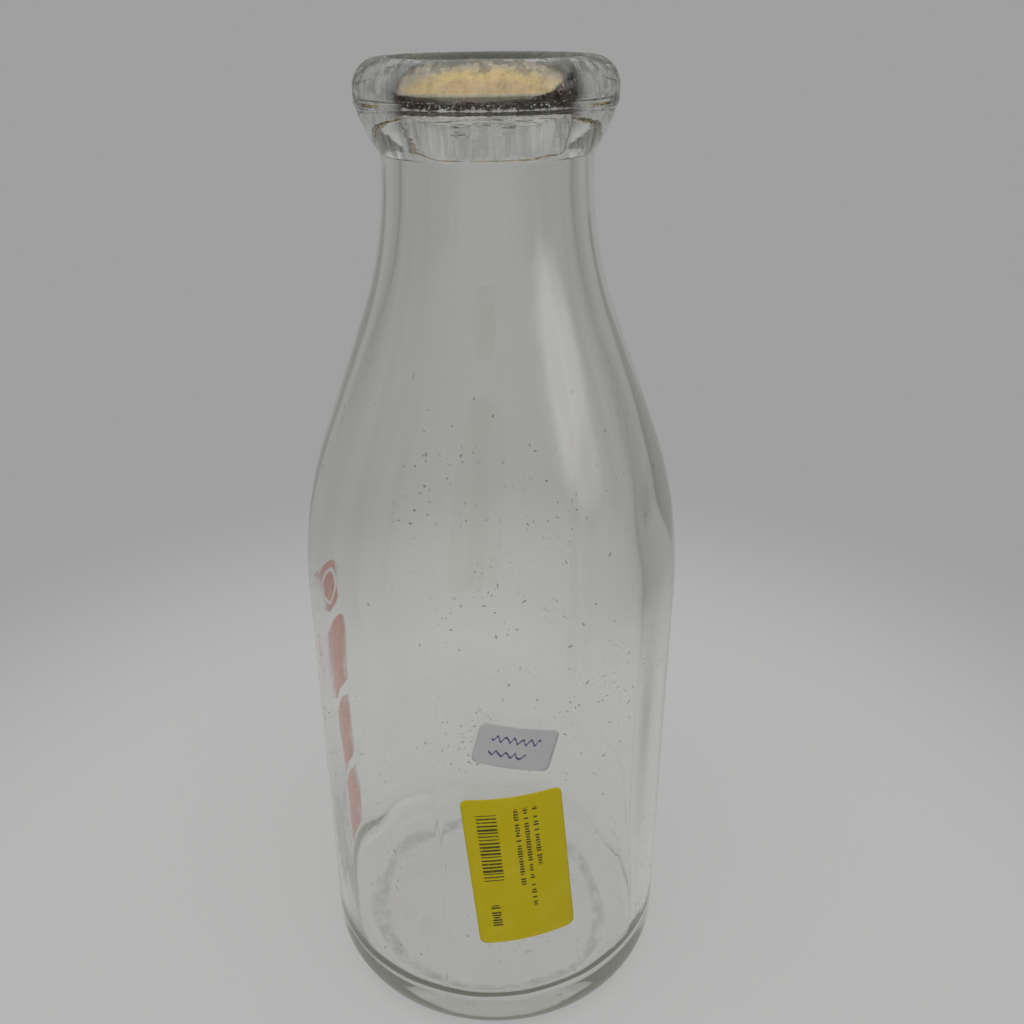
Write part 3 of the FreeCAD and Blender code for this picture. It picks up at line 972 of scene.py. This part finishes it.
@dataclass
class GlassBottle:
    """The bottle's glass: one wall from the push-up under the base, over the lip, to the floor inside."""

    finish: ClearGlass
    body_radius: float
    seat_height: float
    wall: float = 0.0040
    straight_top: float = 0.1255
    heel_radius: float = 0.0120
    bearing_width: float = 0.0045
    push_up: float = 0.0035
    base_thickness: float = 0.0060
    floor_round: float = 0.0090
    knee_radius: float = 0.1200
    shoulder_lean: float = 20.6
    shoulder_radius: float = 0.1000
    neck_wall: float = 0.0049
    neck_length: float = 0.0024
    collar_height: float = 0.0099
    collar_round: float = 0.0260
    crease_depth: float = 0.0004
    bead_height: float = 0.0097
    lip_width: float = 0.00885
    crown_inset: float = 0.00275
    cap_bore: float = 0.02065
    seat_width: float = 0.00125
    corner_spread: float = 0.00035
    arc_step: float = 0.0004
    dense_step: float = 0.00012
    longest_step: float = 0.0042
    largest_bend: float = 6.0
    sides: int = 216
    seam_azimuth: float = -16.5
    seam_height: float = 0.00010
    seam_half_width: float = 0.0005
    seam_foot: Point = (0.010, 0.020)
    seam_head: Point = (0.222, 0.230)
    drift_body: float = -0.0021
    drift_base: float = -0.0012
    knee_height: float = 0.1380
    knee_reach: float = 0.0200
    knee_drift: float = -0.0003
    knee_extra: float = 0.0004
    slope_extra: float = 0.0007
    shift_full: float = 0.03
    blown_top: Point = (0.135, 0.188)
    drift_rise: Point = (0.010, 0.060)
    slope_foot: Point = (0.130, 0.150)
    slope_head: Point = (0.190, 0.222)
    chatter_foot: Point = (0.170, 0.205)
    chatter_coarse: float = 0.00006
    chatter_fine: float = 0.00004
    smooth_bore: Point = (0.236, 0.243)
    ripples: Sequence[tuple[float, float, float, float]] = (
        (0.00010, 5, 9, 0.6),
        (0.00007, 9, -14, 2.1),
        (0.00005, 17, 6, 4.0),
        (0.00006, 2, 95, 1.2),
    )

    def profile(self) -> tuple[list[Point], int]:
        """The half section of the glass, from the middle of the base to the middle of the floor.

        Returns:
            The kept points as radius and height, and the number of the one at the top of the lip.
        """
        step = self.arc_step
        body, heel, lean = self.body_radius, self.heel_radius, self.shoulder_lean
        tilt = math.radians(lean)
        bearing_out = body - heel
        bearing_in = bearing_out - self.bearing_width
        dome = (bearing_in ** 2 + self.push_up ** 2) / (2 * self.push_up)
        dome_start = math.degrees(math.atan2(dome - self.push_up, bearing_in))
        throat = self.cap_bore - self.seat_width
        neck = throat + self.neck_wall
        lip = self.cap_bore + self.lip_width
        crown = self.cap_bore + self.crown_inset
        knee_centre = (body - self.knee_radius, self.straight_top)

        def hollow(knee: float, side: float) -> tuple[Point, float]:
            """The centre of the arc that runs from the slope into the neck, whose foot is at its height."""
            foot = (knee_centre[0] + knee * math.cos(tilt), knee_centre[1] + knee * math.sin(tilt))
            head = side + self.shoulder_radius * (1 - math.cos(tilt))
            rise = foot[1] + (foot[0] - head) / math.tan(tilt) + self.shoulder_radius * math.sin(tilt)
            return (side + self.shoulder_radius, rise), rise

        neck_centre, neck_foot = hollow(self.knee_radius, neck)
        throat_centre, _ = hollow(self.knee_radius - self.wall, throat)
        neck_top = neck_foot + self.neck_length
        crease = neck_top + self.collar_height
        top = crease + self.bead_height
        collar = lip - self.crease_depth
        chord = math.hypot(collar - neck, crease - neck_top)
        slope = math.degrees(math.atan2(crease - neck_top, collar - neck))
        half = math.degrees(math.asin(chord / 2 / self.collar_round))
        start = math.radians(slope - 90 - half)
        collar_centre = (neck - self.collar_round * math.cos(start),
                         neck_top - self.collar_round * math.sin(start))
        floor = self.push_up + self.base_thickness
        inside = body - self.wall

        outside = (
            arc_points((0, self.push_up - dome), dome, 90, dome_start, step)
            + arc_points((bearing_out, heel), heel, -90, 0, step)
            + arc_points(knee_centre, self.knee_radius, 0, lean, step)
            + arc_points(neck_centre, self.shoulder_radius, 180 + lean, 180, step)
            + arc_points(collar_centre, self.collar_round, slope - 90 - half, slope - 90 + half, step)
            + [(lip, crease)]
            + arc_points((crown, top - lip + crown), lip - crown, 0, 90, step)
        )
        inner = (
            arc_points((crown, top - crown + self.cap_bore), crown - self.cap_bore, 90, 180, step)
            + [(self.cap_bore, self.seat_height), (throat, self.seat_height)]
            + arc_points(throat_centre, self.shoulder_radius, 180, 180 + lean, step)
            + arc_points(knee_centre, self.knee_radius - self.wall, lean, 0, step)
            + arc_points((inside - self.floor_round, floor + self.floor_round), self.floor_round, 0, -90,
                         step)
            + [(0.0, floor)]
        )
        dense = round_corners(outside + inner[1:], self.dense_step, self.corner_spread)
        highest = max(range(len(dense)), key=lambda i: dense[i][1])
        kept = thin_out(dense, self.longest_step, self.largest_bend)
        crown_index = min(range(len(kept)), key=lambda i: abs(kept[i] - highest))
        return [dense[i] for i in kept], crown_index

    def _azimuths(self) -> list[float]:
        """The azimuths of the wall's columns, in radians, closer together at the two mould seams."""
        even = [2 * math.pi * i / self.sides for i in range(self.sides)]
        seams = [math.radians(self.seam_azimuth + half_turn) % (2 * math.pi) for half_turn in (0, 180)]
        offsets = [k * self.seam_half_width / 2 / self.body_radius for k in range(-5, 6)]
        spread = offsets[-1] + math.pi / self.sides
        clear = [a for a in even if all(abs(math.remainder(a - s, 2 * math.pi)) > spread for s in seams)]
        return sorted(clear + [(s + o) % (2 * math.pi) for s in seams for o in offsets])

    def _seam(self, azimuth: float, height: float) -> float:
        """How far the mould seam stands out of the wall."""
        place = ease(*self.seam_foot, height) * (1 - ease(*self.seam_head, height))
        seams = [math.radians(self.seam_azimuth + half_turn) for half_turn in (0, 180)]
        off = min(abs(math.remainder(azimuth - seam, 2 * math.pi)) for seam in seams)
        return self.seam_height * place * math.exp(-(off * self.body_radius / self.seam_half_width) ** 2)

    def _inner_shift(self, azimuth: float, height: float) -> tuple[float, float]:
        """How far the inside stands off its drawn place.

        Args:
            azimuth: the column's azimuth in radians.
            height: the point's height.

        Returns:
            The shift along X of the whole ring, and the point's own shift outwards.
        """
        blown = 1 - ease(*self.blown_top, height)
        share = ease(*self.drift_rise, height)
        knee = math.exp(-((height - self.knee_height) / self.knee_reach) ** 2)
        slope = ease(*self.slope_foot, height) * (1 - ease(*self.slope_head, height))
        drift = self.drift_base + (self.drift_body - self.drift_base) * share
        sideways = blown * drift + self.knee_drift * knee
        thicker = self.knee_extra * knee + self.slope_extra * slope
        ripple = sum(depth * math.sin(waves * azimuth + climb * height + start)
                     for depth, waves, climb, start in self.ripples)
        coarse = math.sin(3 * azimuth + 610 * height + 2.0 * math.sin(140 * height + azimuth))
        fine = math.sin(1080 * height - 4 * azimuth + 1.5 * math.sin(230 * height))
        chatter = self.chatter_coarse * coarse + self.chatter_fine * fine
        wavy = (1 - ease(*self.smooth_bore, height)) * (ripple + ease(*self.chatter_foot, height) * chatter)
        return sideways, wavy - thicker

    def build(self) -> bpy.types.Object:
        """Turn the profile about the axis.

        Returns:
            The glass, dressed and riding on the bottle's body.
        """
        points, crown_index = self.profile()
        azimuths = self._azimuths()
        bm = bmesh.new()
        rings: list[list[bmesh.types.BMVert]] = []
        for number, (radius, height) in enumerate(points):
            inner = number > crown_index
            pole = radius < 1e-6
            ring = []
            for azimuth in azimuths[:1] if pole else azimuths:
                sideways, outwards = self._inner_shift(azimuth, height) if inner else (0.0, 0.0)
                if not inner and height > self.push_up:
                    outwards = self._seam(azimuth, height)
                reach = 0.0 if pole else radius + outwards * min(1.0, radius / self.shift_full)
                ring.append(bm.verts.new((reach * math.sin(azimuth) + sideways,
                                          -reach * math.cos(azimuth), height)))
            rings.append(ring)
        count = len(azimuths)
        for below, above in zip(rings, rings[1:]):
            for i in range(count):
                corners = [below[i % len(below)], below[(i + 1) % len(below)],
                           above[(i + 1) % len(above)], above[i % len(above)]]
                bm.faces.new(list(dict.fromkeys(corners)))
        made = add_object("glass", mesh_of(bm, "glass"), self.finish.material())
        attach(made, Body.BOTTLE.value)
        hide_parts("glass_bottle")
        return made


@dataclass
class DiscCap:
    """The card disc on its ledge in the mouth."""

    finish: WaxedCard
    radius: float
    low: float
    high: float
    edge_round: float = 0.00025
    dish: float = 0.00012
    warp: float = 0.00005
    settle: float = 0.00005
    sides: int = 144
    rings: int = 16

    def build(self) -> bpy.types.Object:
        """Make the disc with a worn edge and a slight dish.

        Returns:
            The cap, dressed and riding on its own body.
        """
        middle = (self.low + self.high) / 2
        half = (self.high - self.low) / 2
        flat = [self.radius * (i / self.rings) for i in range(1, self.rings)]
        turns = [math.radians(a) for a in (90, 60, 30, 0)]
        edge = [(self.radius - self.edge_round * (1 - math.cos(a)),
                 half - self.edge_round * (1 - math.sin(a))) for a in turns]
        outline = [(r, half) for r in flat] + edge + [(r, -z) for r, z in reversed(edge)]
        outline += [(r, -half) for r in reversed(flat)]
        bm = bmesh.new()
        rings = []
        for radius, lift in outline:
            upper = lift > 0
            share = radius / self.radius
            sink = self.settle + self.dish * (1 - share ** 2) if upper else 0.0
            ring = []
            for i in range(self.sides):
                angle = 2 * math.pi * i / self.sides
                warp = self.warp * math.sin(3 * angle + 1.0) * share if upper else 0.0
                ring.append(bm.verts.new((radius * math.sin(angle), -radius * math.cos(angle),
                                          middle + lift - sink + warp)))
            rings.append(ring)
        for first, second in zip(rings, rings[1:]):
            for i in range(self.sides):
                j = (i + 1) % self.sides
                bm.faces.new((first[i], first[j], second[j], second[i]))
        for ring, level in ((rings[0], middle + half - self.dish - self.settle), (rings[-1], middle - half)):
            pole = bm.verts.new((0.0, 0.0, level))
            for i in range(self.sides):
                bm.faces.new((ring[i], ring[(i + 1) % self.sides], pole))
        made = add_object("cap_disc", mesh_of(bm, "cap_disc"), self.finish.material())
        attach(made, Body.CAP.value)
        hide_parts("disc_cap")
        return made


Place = Callable[[float, float, bool], Vector]


def add_plate(bm: bmesh.types.BMesh, rows: list[list[Point]], place: Place, closed: bool,
              filled: bool = False, extent: Sequence[float] | None = None) -> None:
    """Add a thin plate with a front, a back and edges.

    Args:
        bm: the edit mesh that takes it.
        rows: rows of points on the flat plate, or loops of them.
        place: where a flat point goes, on the front or on the back.
        closed: whether each row is a loop.
        filled: whether the last loop is closed by a face.
        extent: the flat rectangle that fills the UV map, as left, bottom, right, top.

    Returns:
        None.
    """
    layer = bm.loops.layers.uv.verify() if extent else None
    grids = []
    flat: dict[bmesh.types.BMVert, Point] = {}
    for front in (True, False):
        grid = [[bm.verts.new(place(u, v, front)) for u, v in row] for row in rows]
        for made_row, row in zip(grid, rows):
            flat.update(zip(made_row, row))
        grids.append(grid)
    width = len(rows[0])
    faces = []
    for grid in grids:
        for first, second in zip(grid, grid[1:]):
            for j in range(width if closed else width - 1):
                k = (j + 1) % width
                faces.append(bm.faces.new((first[j], first[k], second[k], second[j])))
        if filled:
            faces.append(bm.faces.new(grid[-1]))
    front, back = grids
    edges = [(front[0], back[0])] + ([] if filled else [(front[-1], back[-1])])
    for near, far in edges:
        for j in range(width if closed else width - 1):
            k = (j + 1) % width
            faces.append(bm.faces.new((near[j], near[k], far[k], far[j])))
    if not closed:
        for column in (0, -1):
            for i in range(len(rows) - 1):
                faces.append(bm.faces.new((front[i][column], front[i + 1][column],
                                           back[i + 1][column], back[i][column])))
    if layer is not None:
        left, bottom, right, top = extent
        for face in faces:
            for loop in face.loops:
                u, v = flat[loop.vert]
                loop[layer].uv = ((u - left) / (right - left), (v - bottom) / (top - bottom))


def panel_rows(width: float, bottom: float, top: float, corner: float, columns: int,
               spacing: float) -> list[list[Point]]:
    """Rows of points that fill a round-cornered panel.

    Args:
        width: the panel's width, centred on zero.
        bottom: its lower edge.
        top: its upper edge.
        corner: the radius of its corners.
        columns: how many strips wide it is.
        spacing: the distance between rows along the straight sides.

    Returns:
        The rows, from the lower edge up.
    """
    bends = [corner * (1 - math.cos(math.radians(a))) for a in range(0, 91, 15)]
    count = max(1, round((top - bottom - 2 * corner) / spacing))
    straight = [bottom + corner + (top - bottom - 2 * corner) * i / count for i in range(1, count)]
    levels = [bottom + b for b in bends] + straight + [top - b for b in reversed(bends)]
    rows = []
    for level in levels:
        into = max(0.0, corner - min(level - bottom, top - level))
        half = width / 2 - corner + math.sqrt(max(0.0, corner ** 2 - into ** 2))
        rows.append([(half * (2 * j / columns - 1), level) for j in range(columns + 1)])
    return rows


@dataclass
class Sticker:
    """A paper sticker on the front of the wall."""

    name: str
    node: str
    slot: Slot
    finish: Union[PricePaper, NotePaper]
    corner: float
    offset: float
    bottom: float
    tilt: float
    proud: float = 0.00020
    sunk: float = 0.00002
    columns: int = 20
    spacing: float = 0.0010

    def build(self) -> bpy.types.Object:
        """Lay the sticker on the wall.

        Returns:
            The sticker, dressed and riding on the bottle's body.
        """
        cos, sin = math.cos(math.radians(self.tilt)), math.sin(math.radians(self.tilt))

        def place(u: float, v: float, front: bool) -> Vector:
            """Where a point of the flat sticker lies on the wall."""
            radius = self.finish.wall_radius + (self.proud if front else -self.sunk)
            x = self.offset + u * cos - v * sin
            return Vector((x, -math.sqrt(radius ** 2 - x ** 2), self.bottom + u * sin + v * cos))

        bm = bmesh.new()
        width, height = self.finish.width, self.finish.height
        rows = panel_rows(width, 0.0, height, self.corner, self.columns, self.spacing)
        add_plate(bm, rows, place, closed=False, extent=(-width / 2, 0.0, width / 2, height))
        made = add_object(self.name, mesh_of(bm, self.name), self.finish.material())
        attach(made, Body.BOTTLE.value)
        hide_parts(self.node)
        return made


class NodeTree:
    """A Geometry Nodes tree with named inputs."""

    def __init__(self, name: str) -> None:
        """Start an empty tree with a geometry input and output."""
        self.tree = bpy.data.node_groups.new(name, "GeometryNodeTree")
        self.graph = Graph(self.tree)
        self.tree.interface.new_socket("Geometry", in_out="INPUT", socket_type="NodeSocketGeometry")
        self.tree.interface.new_socket("Geometry", in_out="OUTPUT", socket_type="NodeSocketGeometry")
        self.values: dict[str, Any] = {}

    def inputs(self, **values: Any) -> dict[str, Wire]:
        """Add the named inputs.

        Args:
            values: each input's name, with underscores for spaces, and its value; whole numbers stay whole.

        Returns:
            Each input's wire by the same name, and the geometry's as "geometry".
        """
        for name, value in values.items():
            kind = "NodeSocketInt" if isinstance(value, int) else "NodeSocketFloat"
            socket = self.tree.interface.new_socket(name.replace("_", " "), in_out="INPUT", socket_type=kind)
            self.values[socket.identifier] = value
        entry = self.graph.node("NodeGroupInput")
        wires = {name: self.graph.out(entry, name.replace("_", " ")) for name in values}
        wires["geometry"] = self.graph.out(entry, "Geometry")
        return wires

    def close(self, geometry: Wire, material: bpy.types.Material) -> None:
        """End the tree: real geometry, then its material."""
        real = self.graph.node("GeometryNodeRealizeInstances", sockets={"Geometry": geometry})
        dressed = self.graph.node("GeometryNodeSetMaterial", sockets={
            "Geometry": self.graph.out(real), "Material": material})
        self.graph.node("NodeGroupOutput", sockets={0: self.graph.out(dressed)})

    def run(self, base: bpy.types.Object, name: str) -> bpy.types.Mesh:
        """Evaluate the tree on an object.

        Args:
            base: the object whose mesh goes in; it is removed.
            name: the name of the mesh that comes out.

        Returns:
            A plain mesh.
        """
        modifier = base.modifiers.new(name, "NODES")
        modifier.node_group = self.tree
        for identifier, value in self.values.items():
            modifier[identifier] = value
        bpy.context.view_layer.update()
        evaluated = base.evaluated_get(bpy.context.evaluated_depsgraph_get())
        mesh = bpy.data.meshes.new_from_object(evaluated)
        mesh.name = name
        base.modifiers.clear()
        bpy.data.objects.remove(base)
        return mesh


@dataclass
class EnamelPrint:
    """A fired print on the left of the wall, towards the back: a ringed disc above a column of bars."""

    finish: RedEnamel
    thickness: float = 0.00015
    sunk: float = 0.00002
    top: float = 0.1215
    disc_radius: float = 0.0050
    disc_gap: float = 0.0013
    ring_stroke: float = 0.0023
    ring_shares: Sequence[float] = (0.0, 0.33, 0.67, 1.0)
    bar_width: float = 0.0145
    bar_height: float = 0.0250
    bar_pitch: float = 0.0290
    bars_bottom: float = 0.0170
    bar_count: int = 3
    bar_columns: int = 16
    bar_spacing: float = 0.0010
    disc_rings: int = 16
    sides: int = 96

    def _bars(self, material: bpy.types.Material) -> bpy.types.Mesh:
        """Repeat one flat bar up the wall and wrap the column round it.

        Args:
            material: the enamel.

        Returns:
            The bars as one mesh.
        """
        bm = bmesh.new()
        rows = panel_rows(self.bar_width, 0.0, self.bar_height, self.bar_width / 4, self.bar_columns,
                          self.bar_spacing)

        def place(u: float, v: float, front: bool) -> Vector:
            """Where a point of the flat bar lies before it is wrapped."""
            return Vector((self.thickness if front else -self.sunk, u, v))

        add_plate(bm, rows, place, closed=False)
        base = add_object("bar_blank", mesh_of(bm, "bar_blank"))
        tree = NodeTree("enamel_bars")
        graph = tree.graph
        wires = tree.inputs(Count=self.bar_count, Pitch=self.bar_pitch, First_Height=self.bars_bottom,
                            Wall_Radius=self.finish.wall_radius)
        spots = graph.node("GeometryNodeMeshLine", {"mode": "OFFSET"}, {
            "Count": wires["Count"], "Start Location": graph.join(0.0, 0.0, wires["First_Height"]),
            "Offset": graph.join(0.0, 0.0, wires["Pitch"])})
        stack = graph.node("GeometryNodeInstanceOnPoints", sockets={
            "Points": graph.out(spots), "Instance": wires["geometry"]})
        real = graph.node("GeometryNodeRealizeInstances", sockets={0: graph.out(stack)})
        depth, along, height = graph.split(graph.out(graph.node("GeometryNodeInputPosition")))
        radius = wires["Wall_Radius"] + depth
        wrapped = graph.join(-((radius * radius - along * along).root()), along, height)
        bent = graph.node("GeometryNodeSetPosition", sockets={
            "Geometry": graph.out(real), "Position": wrapped})
        tree.close(graph.out(bent), material)
        return tree.run(base, "enamel_bars")

    def build(self) -> bpy.types.Object:
        """Make the print.

        Returns:
            The print, dressed and riding on the bottle's body.
        """
        material = self.finish.material()
        ring = self.disc_radius + self.disc_gap + self.ring_stroke

        def place(u: float, v: float, front: bool) -> Vector:
            """Where a flat point lies on the wall."""
            radius = self.finish.wall_radius + (self.thickness if front else -self.sunk)
            return Vector((-math.sqrt(radius ** 2 - u ** 2), u, v))

        def circle(radius: float) -> list[Point]:
            """A loop about the disc's middle."""
            turns = [2 * math.pi * i / self.sides for i in range(self.sides)]
            return [(radius * math.cos(t), self.top - ring + radius * math.sin(t)) for t in turns]

        bm = bmesh.new()
        add_plate(bm, [circle(ring - self.ring_stroke * s) for s in self.ring_shares], place, closed=True)
        shares = [1.0 - i / self.disc_rings for i in range(self.disc_rings)]
        add_plate(bm, [circle(self.disc_radius * s) for s in shares], place, closed=True, filled=True)
        bars = self._bars(material)
        bm.from_mesh(bars)
        bpy.data.meshes.remove(bars)
        bm.transform(Matrix.Rotation(-math.radians(self.finish.turn), 4, "Z"))
        made = add_object("print", mesh_of(bm, "print"), material)
        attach(made, Body.BOTTLE.value)
        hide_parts("enamel_print")
        return made


@dataclass
class WallSpecks:
    """Specks of lime and dirt that sit in the skin of the glass."""

    finish: DriedDirt
    glass: bpy.types.Object
    density: float = 150000.0
    low: float = 0.020
    high: float = 0.200
    smallest: float = 0.00014
    largest: float = 0.00080
    half_thickness: float = 0.00003
    crowded_below: Point = (0.165, 0.120)
    narrowest: float = 0.15
    widest: float = 0.55
    full_turn: float = 6.283
    seed: int = 7

    def build(self) -> bpy.types.Object:
        """Scatter the specks over the outside of the wall.

        Returns:
            The specks, dressed and riding on the bottle's body.
        """
        material = self.finish.material()
        base = add_object("speck_ground", self.glass.data.copy())
        tree = NodeTree("wall_specks")
        graph = tree.graph
        wires = tree.inputs(Density=self.density, Lowest=self.low, Highest=self.high,
                            Smallest=self.smallest, Largest=self.largest, Seed=self.seed)

        def chance(low: float, high: float, seed: Wire) -> Wire:
            """A random number for each speck."""
            return graph.out(graph.node("FunctionNodeRandomValue", {"data_type": "FLOAT"}, {
                "Min_001": low, "Max_001": high, "Seed": seed}), "Value_001")

        x, y, z = graph.split(graph.out(graph.node("GeometryNodeInputPosition")))
        nx, ny, _ = graph.split(graph.out(graph.node("GeometryNodeInputNormal")))
        chosen = z.above(wires["Lowest"]) * (1.0 - z.above(wires["Highest"])) * (x * nx + y * ny).above(0.0)
        clusters = graph.out(graph.node("ShaderNodeTexNoise", sockets={"Scale": 34.0, "Detail": 2.0}))
        crowd = clusters.rise(0.45, 0.70) * (0.35 + 0.65 * z.rise(*self.crowded_below))
        spots = graph.node("GeometryNodeDistributePointsOnFaces", {"distribute_method": "RANDOM"}, {
            "Mesh": wires["geometry"], "Selection": chosen, "Density": wires["Density"] * crowd,
            "Seed": wires["Seed"]})
        spread = chance(0.0, 1.0, wires["Seed"]) ** 3.0
        length = wires["Smallest"] + (wires["Largest"] - wires["Smallest"]) * spread
        ratio = chance(self.narrowest, self.widest, wires["Seed"] + 1.0)
        spin = chance(0.0, self.full_turn, wires["Seed"] + 2.0)
        turned = graph.node("FunctionNodeRotateRotation", {"rotation_space": "LOCAL"}, {
            "Rotation": graph.out(spots, "Rotation"),
            "Rotate By": graph.out(graph.node("FunctionNodeEulerToRotation", sockets={
                0: graph.join(0.0, 0.0, spin)}))})
        speck = graph.node("GeometryNodeMeshIcoSphere", sockets={"Radius": 1.0, "Subdivisions": 1})
        placed = graph.node("GeometryNodeInstanceOnPoints", sockets={
            "Points": graph.out(spots, "Points"), "Instance": graph.out(speck),
            "Rotation": graph.out(turned), "Scale": graph.join(length, length * ratio, self.half_thickness)})
        stored = graph.node("GeometryNodeStoreNamedAttribute", {"data_type": "FLOAT", "domain": "INSTANCE"}, {
            "Geometry": graph.out(placed), "Name": SHADE, "Value": chance(0.0, 1.0, wires["Seed"] + 3.0)})
        tree.close(graph.out(stored), material)
        made = add_object("wall_specks", tree.run(base, "wall_specks"), material)
        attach(made, Body.BOTTLE.value)
        return made


@dataclass
class Studio:
    """A pale floor that runs out into an even grey, soft lamps, and the camera."""

    backdrop: Colour = (0.350, 0.350, 0.348)
    room: Colour = (0.170, 0.170, 0.172)
    gap: Colour = (0.008, 0.008, 0.009)
    side_gap: Point = (-0.10, 0.04)
    rear_gap: Point = (-0.52, -0.40)
    gap_soft: float = 0.04
    near_wall: Colour = (0.34, 0.34, 0.335)
    ceiling: Colour = (0.80, 0.80, 0.79)
    window: Colour = (1.60, 1.60, 1.58)
    window_side: Sequence[float] = (0.86, -0.40, 0.32)
    window_edge: Point = (0.945, 0.985)
    floor_colour: Colour = (0.55, 0.55, 0.55)
    floor_glow: Colour = (0.510, 0.510, 0.505)
    floor_share: float = 0.70
    floor_radius: float = 2.0
    floor_sides: int = 96
    fade_start: float = 0.15
    fade_end: float = 0.36
    camera_place: Sequence[float] = (0.0, -0.2450, 0.2623)
    camera_pitch: float = 26.0
    camera_roll: float = -0.66
    lens: float = 36.0
    sensor: float = 36.0
    shift_x: float = 0.0205
    near_clip: float = 0.01
    lamp_aim: Sequence[float] = (0.0, 0.0, 0.12)
    lamps: Sequence[tuple[str, Sequence[float], Sequence[float], float]] = (
        ("top_lamp", (0.0, -0.45, 1.30), (1.20, 1.20), 7.3),
        ("left_lamp", (-1.10, -0.55, 0.60), (0.80, 0.80), 0.8),
    )

    def _floor(self) -> bpy.types.Object:
        """The floor, which fades into the backdrop with distance."""
        material, graph = new_material("studio_floor")
        far = graph.radius(graph.coords()).rise(self.fade_start, self.fade_end)
        paths = graph.node("ShaderNodeLightPath")
        seen = graph.out(paths, "Is Camera Ray").most(graph.out(paths, "Is Glossy Ray")).most(
            graph.out(paths, "Is Transmission Ray"))
        pale = graph.principled({"Base Color": self.floor_colour, "Roughness": 0.6})
        glow = graph.node("ShaderNodeEmission", sockets={"Color": self.floor_glow, "Strength": 1.0})
        near = graph.layer(seen * self.floor_share, pale, graph.out(glow))
        set_output(graph, graph.layer(far, near, graph.out(graph.node("ShaderNodeBsdfTransparent"))))
        bm = bmesh.new()
        bmesh.ops.create_circle(bm, cap_ends=True, segments=self.floor_sides, radius=self.floor_radius)
        return add_object("studio_floor", mesh_of(bm, "studio_floor", smooth=False), material)

    def _world(self) -> None:
        """An even backdrop, and a room with a window that shows only in what has been reflected."""
        world = bpy.data.worlds.new("studio_grey")
        bpy.context.scene.world = world
        world.use_nodes = True
        world.node_tree.nodes.clear()
        graph = Graph(world.node_tree)
        x, y, z = graph.split(graph.coords("Generated"))
        ahead = y / (x * x + y * y).root().most(LEAST_RADIUS)
        low = z.rise(-0.05, -0.30) * (1.0 - 0.8 * abs(x).rise(0.40, 0.75))
        gaps = ahead.within(*self.side_gap, self.gap_soft).most(ahead.within(*self.rear_gap, self.gap_soft))
        shade = graph.blend(gaps, self.room, self.gap)
        shade = graph.blend(low, shade, self.floor_glow)
        shade = graph.blend((-y).rise(0.45, 0.92) * z.rise(-0.45, 0.05), shade, self.near_wall)
        shade = graph.blend(ahead.rise(0.35, 0.80), shade, self.backdrop)
        right, front, up = self.window_side
        shade = graph.blend((x * right + y * front + z * up).rise(*self.window_edge), shade, self.window)
        shade = graph.blend(z.rise(0.22, 0.75) * 0.65, shade, self.ceiling)
        turned = graph.out(graph.node("ShaderNodeLightPath"), "Glossy Depth").above(0.5)
        shade = graph.blend(turned, self.backdrop, shade)
        light = graph.node("ShaderNodeBackground", sockets={"Color": shade, "Strength": 1.0})
        graph.node("ShaderNodeOutputWorld", sockets={"Surface": graph.out(light)})

    def _lamp(self, name: str, place: Sequence[float], size: Sequence[float], power: float) -> None:
        """A soft lamp, wide and high as given, that points at the bottle."""
        data = bpy.data.lights.new(name, "AREA")
        data.shape = "RECTANGLE"
        data.size, data.size_y = size
        data.energy = power
        lamp = bpy.data.objects.new(name, data)
        bpy.context.scene.collection.objects.link(lamp)
        lamp.location = place
        aim = Vector(self.lamp_aim) - Vector(place)
        lamp.rotation_euler = aim.to_track_quat("-Z", "Y").to_euler()
        lamp.visible_glossy = False
        lamp.visible_transmission = False

    def _camera(self) -> None:
        """The camera at the photograph's place."""
        data = bpy.data.cameras.new("camera")
        data.sensor_width = self.sensor
        data.lens = self.lens
        data.shift_x = self.shift_x
        data.clip_start = self.near_clip
        camera = bpy.data.objects.new("camera", data)
        bpy.context.scene.collection.objects.link(camera)
        pitch = Matrix.Rotation(math.radians(90.0 - self.camera_pitch), 4, "X")
        roll = Matrix.Rotation(math.radians(self.camera_roll), 4, "Z")
        camera.matrix_world = Matrix.Translation(Vector(self.camera_place)) @ pitch @ roll
        bpy.context.scene.camera = camera

    def build(self) -> None:
        """Set the stage."""
        self._floor()
        self._world()
        for lamp in self.lamps:
            self._lamp(*lamp)
        self._camera()
        bpy.context.scene.view_settings.view_transform = "Standard"


def corners(box: tuple[Vector, Vector]) -> list[list[float]]:
    """A box as plain lists of numbers."""
    return [list(box[0]), list(box[1])]


def main() -> None:
    """Build the bottle's pieces over the frame, in order."""
    logging.basicConfig(level=logging.INFO, format="%(name)s: %(message)s")
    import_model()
    wall_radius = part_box("glass_bottle")[1].x
    cap_low, cap_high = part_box("disc_cap")
    glass = GlassBottle(ClearGlass(), wall_radius, cap_low.z).build()
    pieces = [
        glass,
        DiscCap(WaxedCard(), cap_high.x, cap_low.z, cap_high.z).build(),
        EnamelPrint(RedEnamel(wall_radius)).build(),
        Sticker("price_sticker", "price_label", Slot.YELLOW, PricePaper(wall_radius),
                corner=0.0020, offset=0.0086, bottom=0.0398, tilt=5.5).build(),
        Sticker("note_sticker", "note_label", Slot.WHITE, NotePaper(wall_radius),
                corner=0.0016, offset=0.0037, bottom=0.0977, tilt=-14.0).build(),
        WallSpecks(DriedDirt(), glass).build(),
    ]
    for piece in pieces:
        LOG.info("%s: %d faces", piece.name, len(piece.data.polygons))
    Studio().build()


if __name__ == "__main__":
    main()
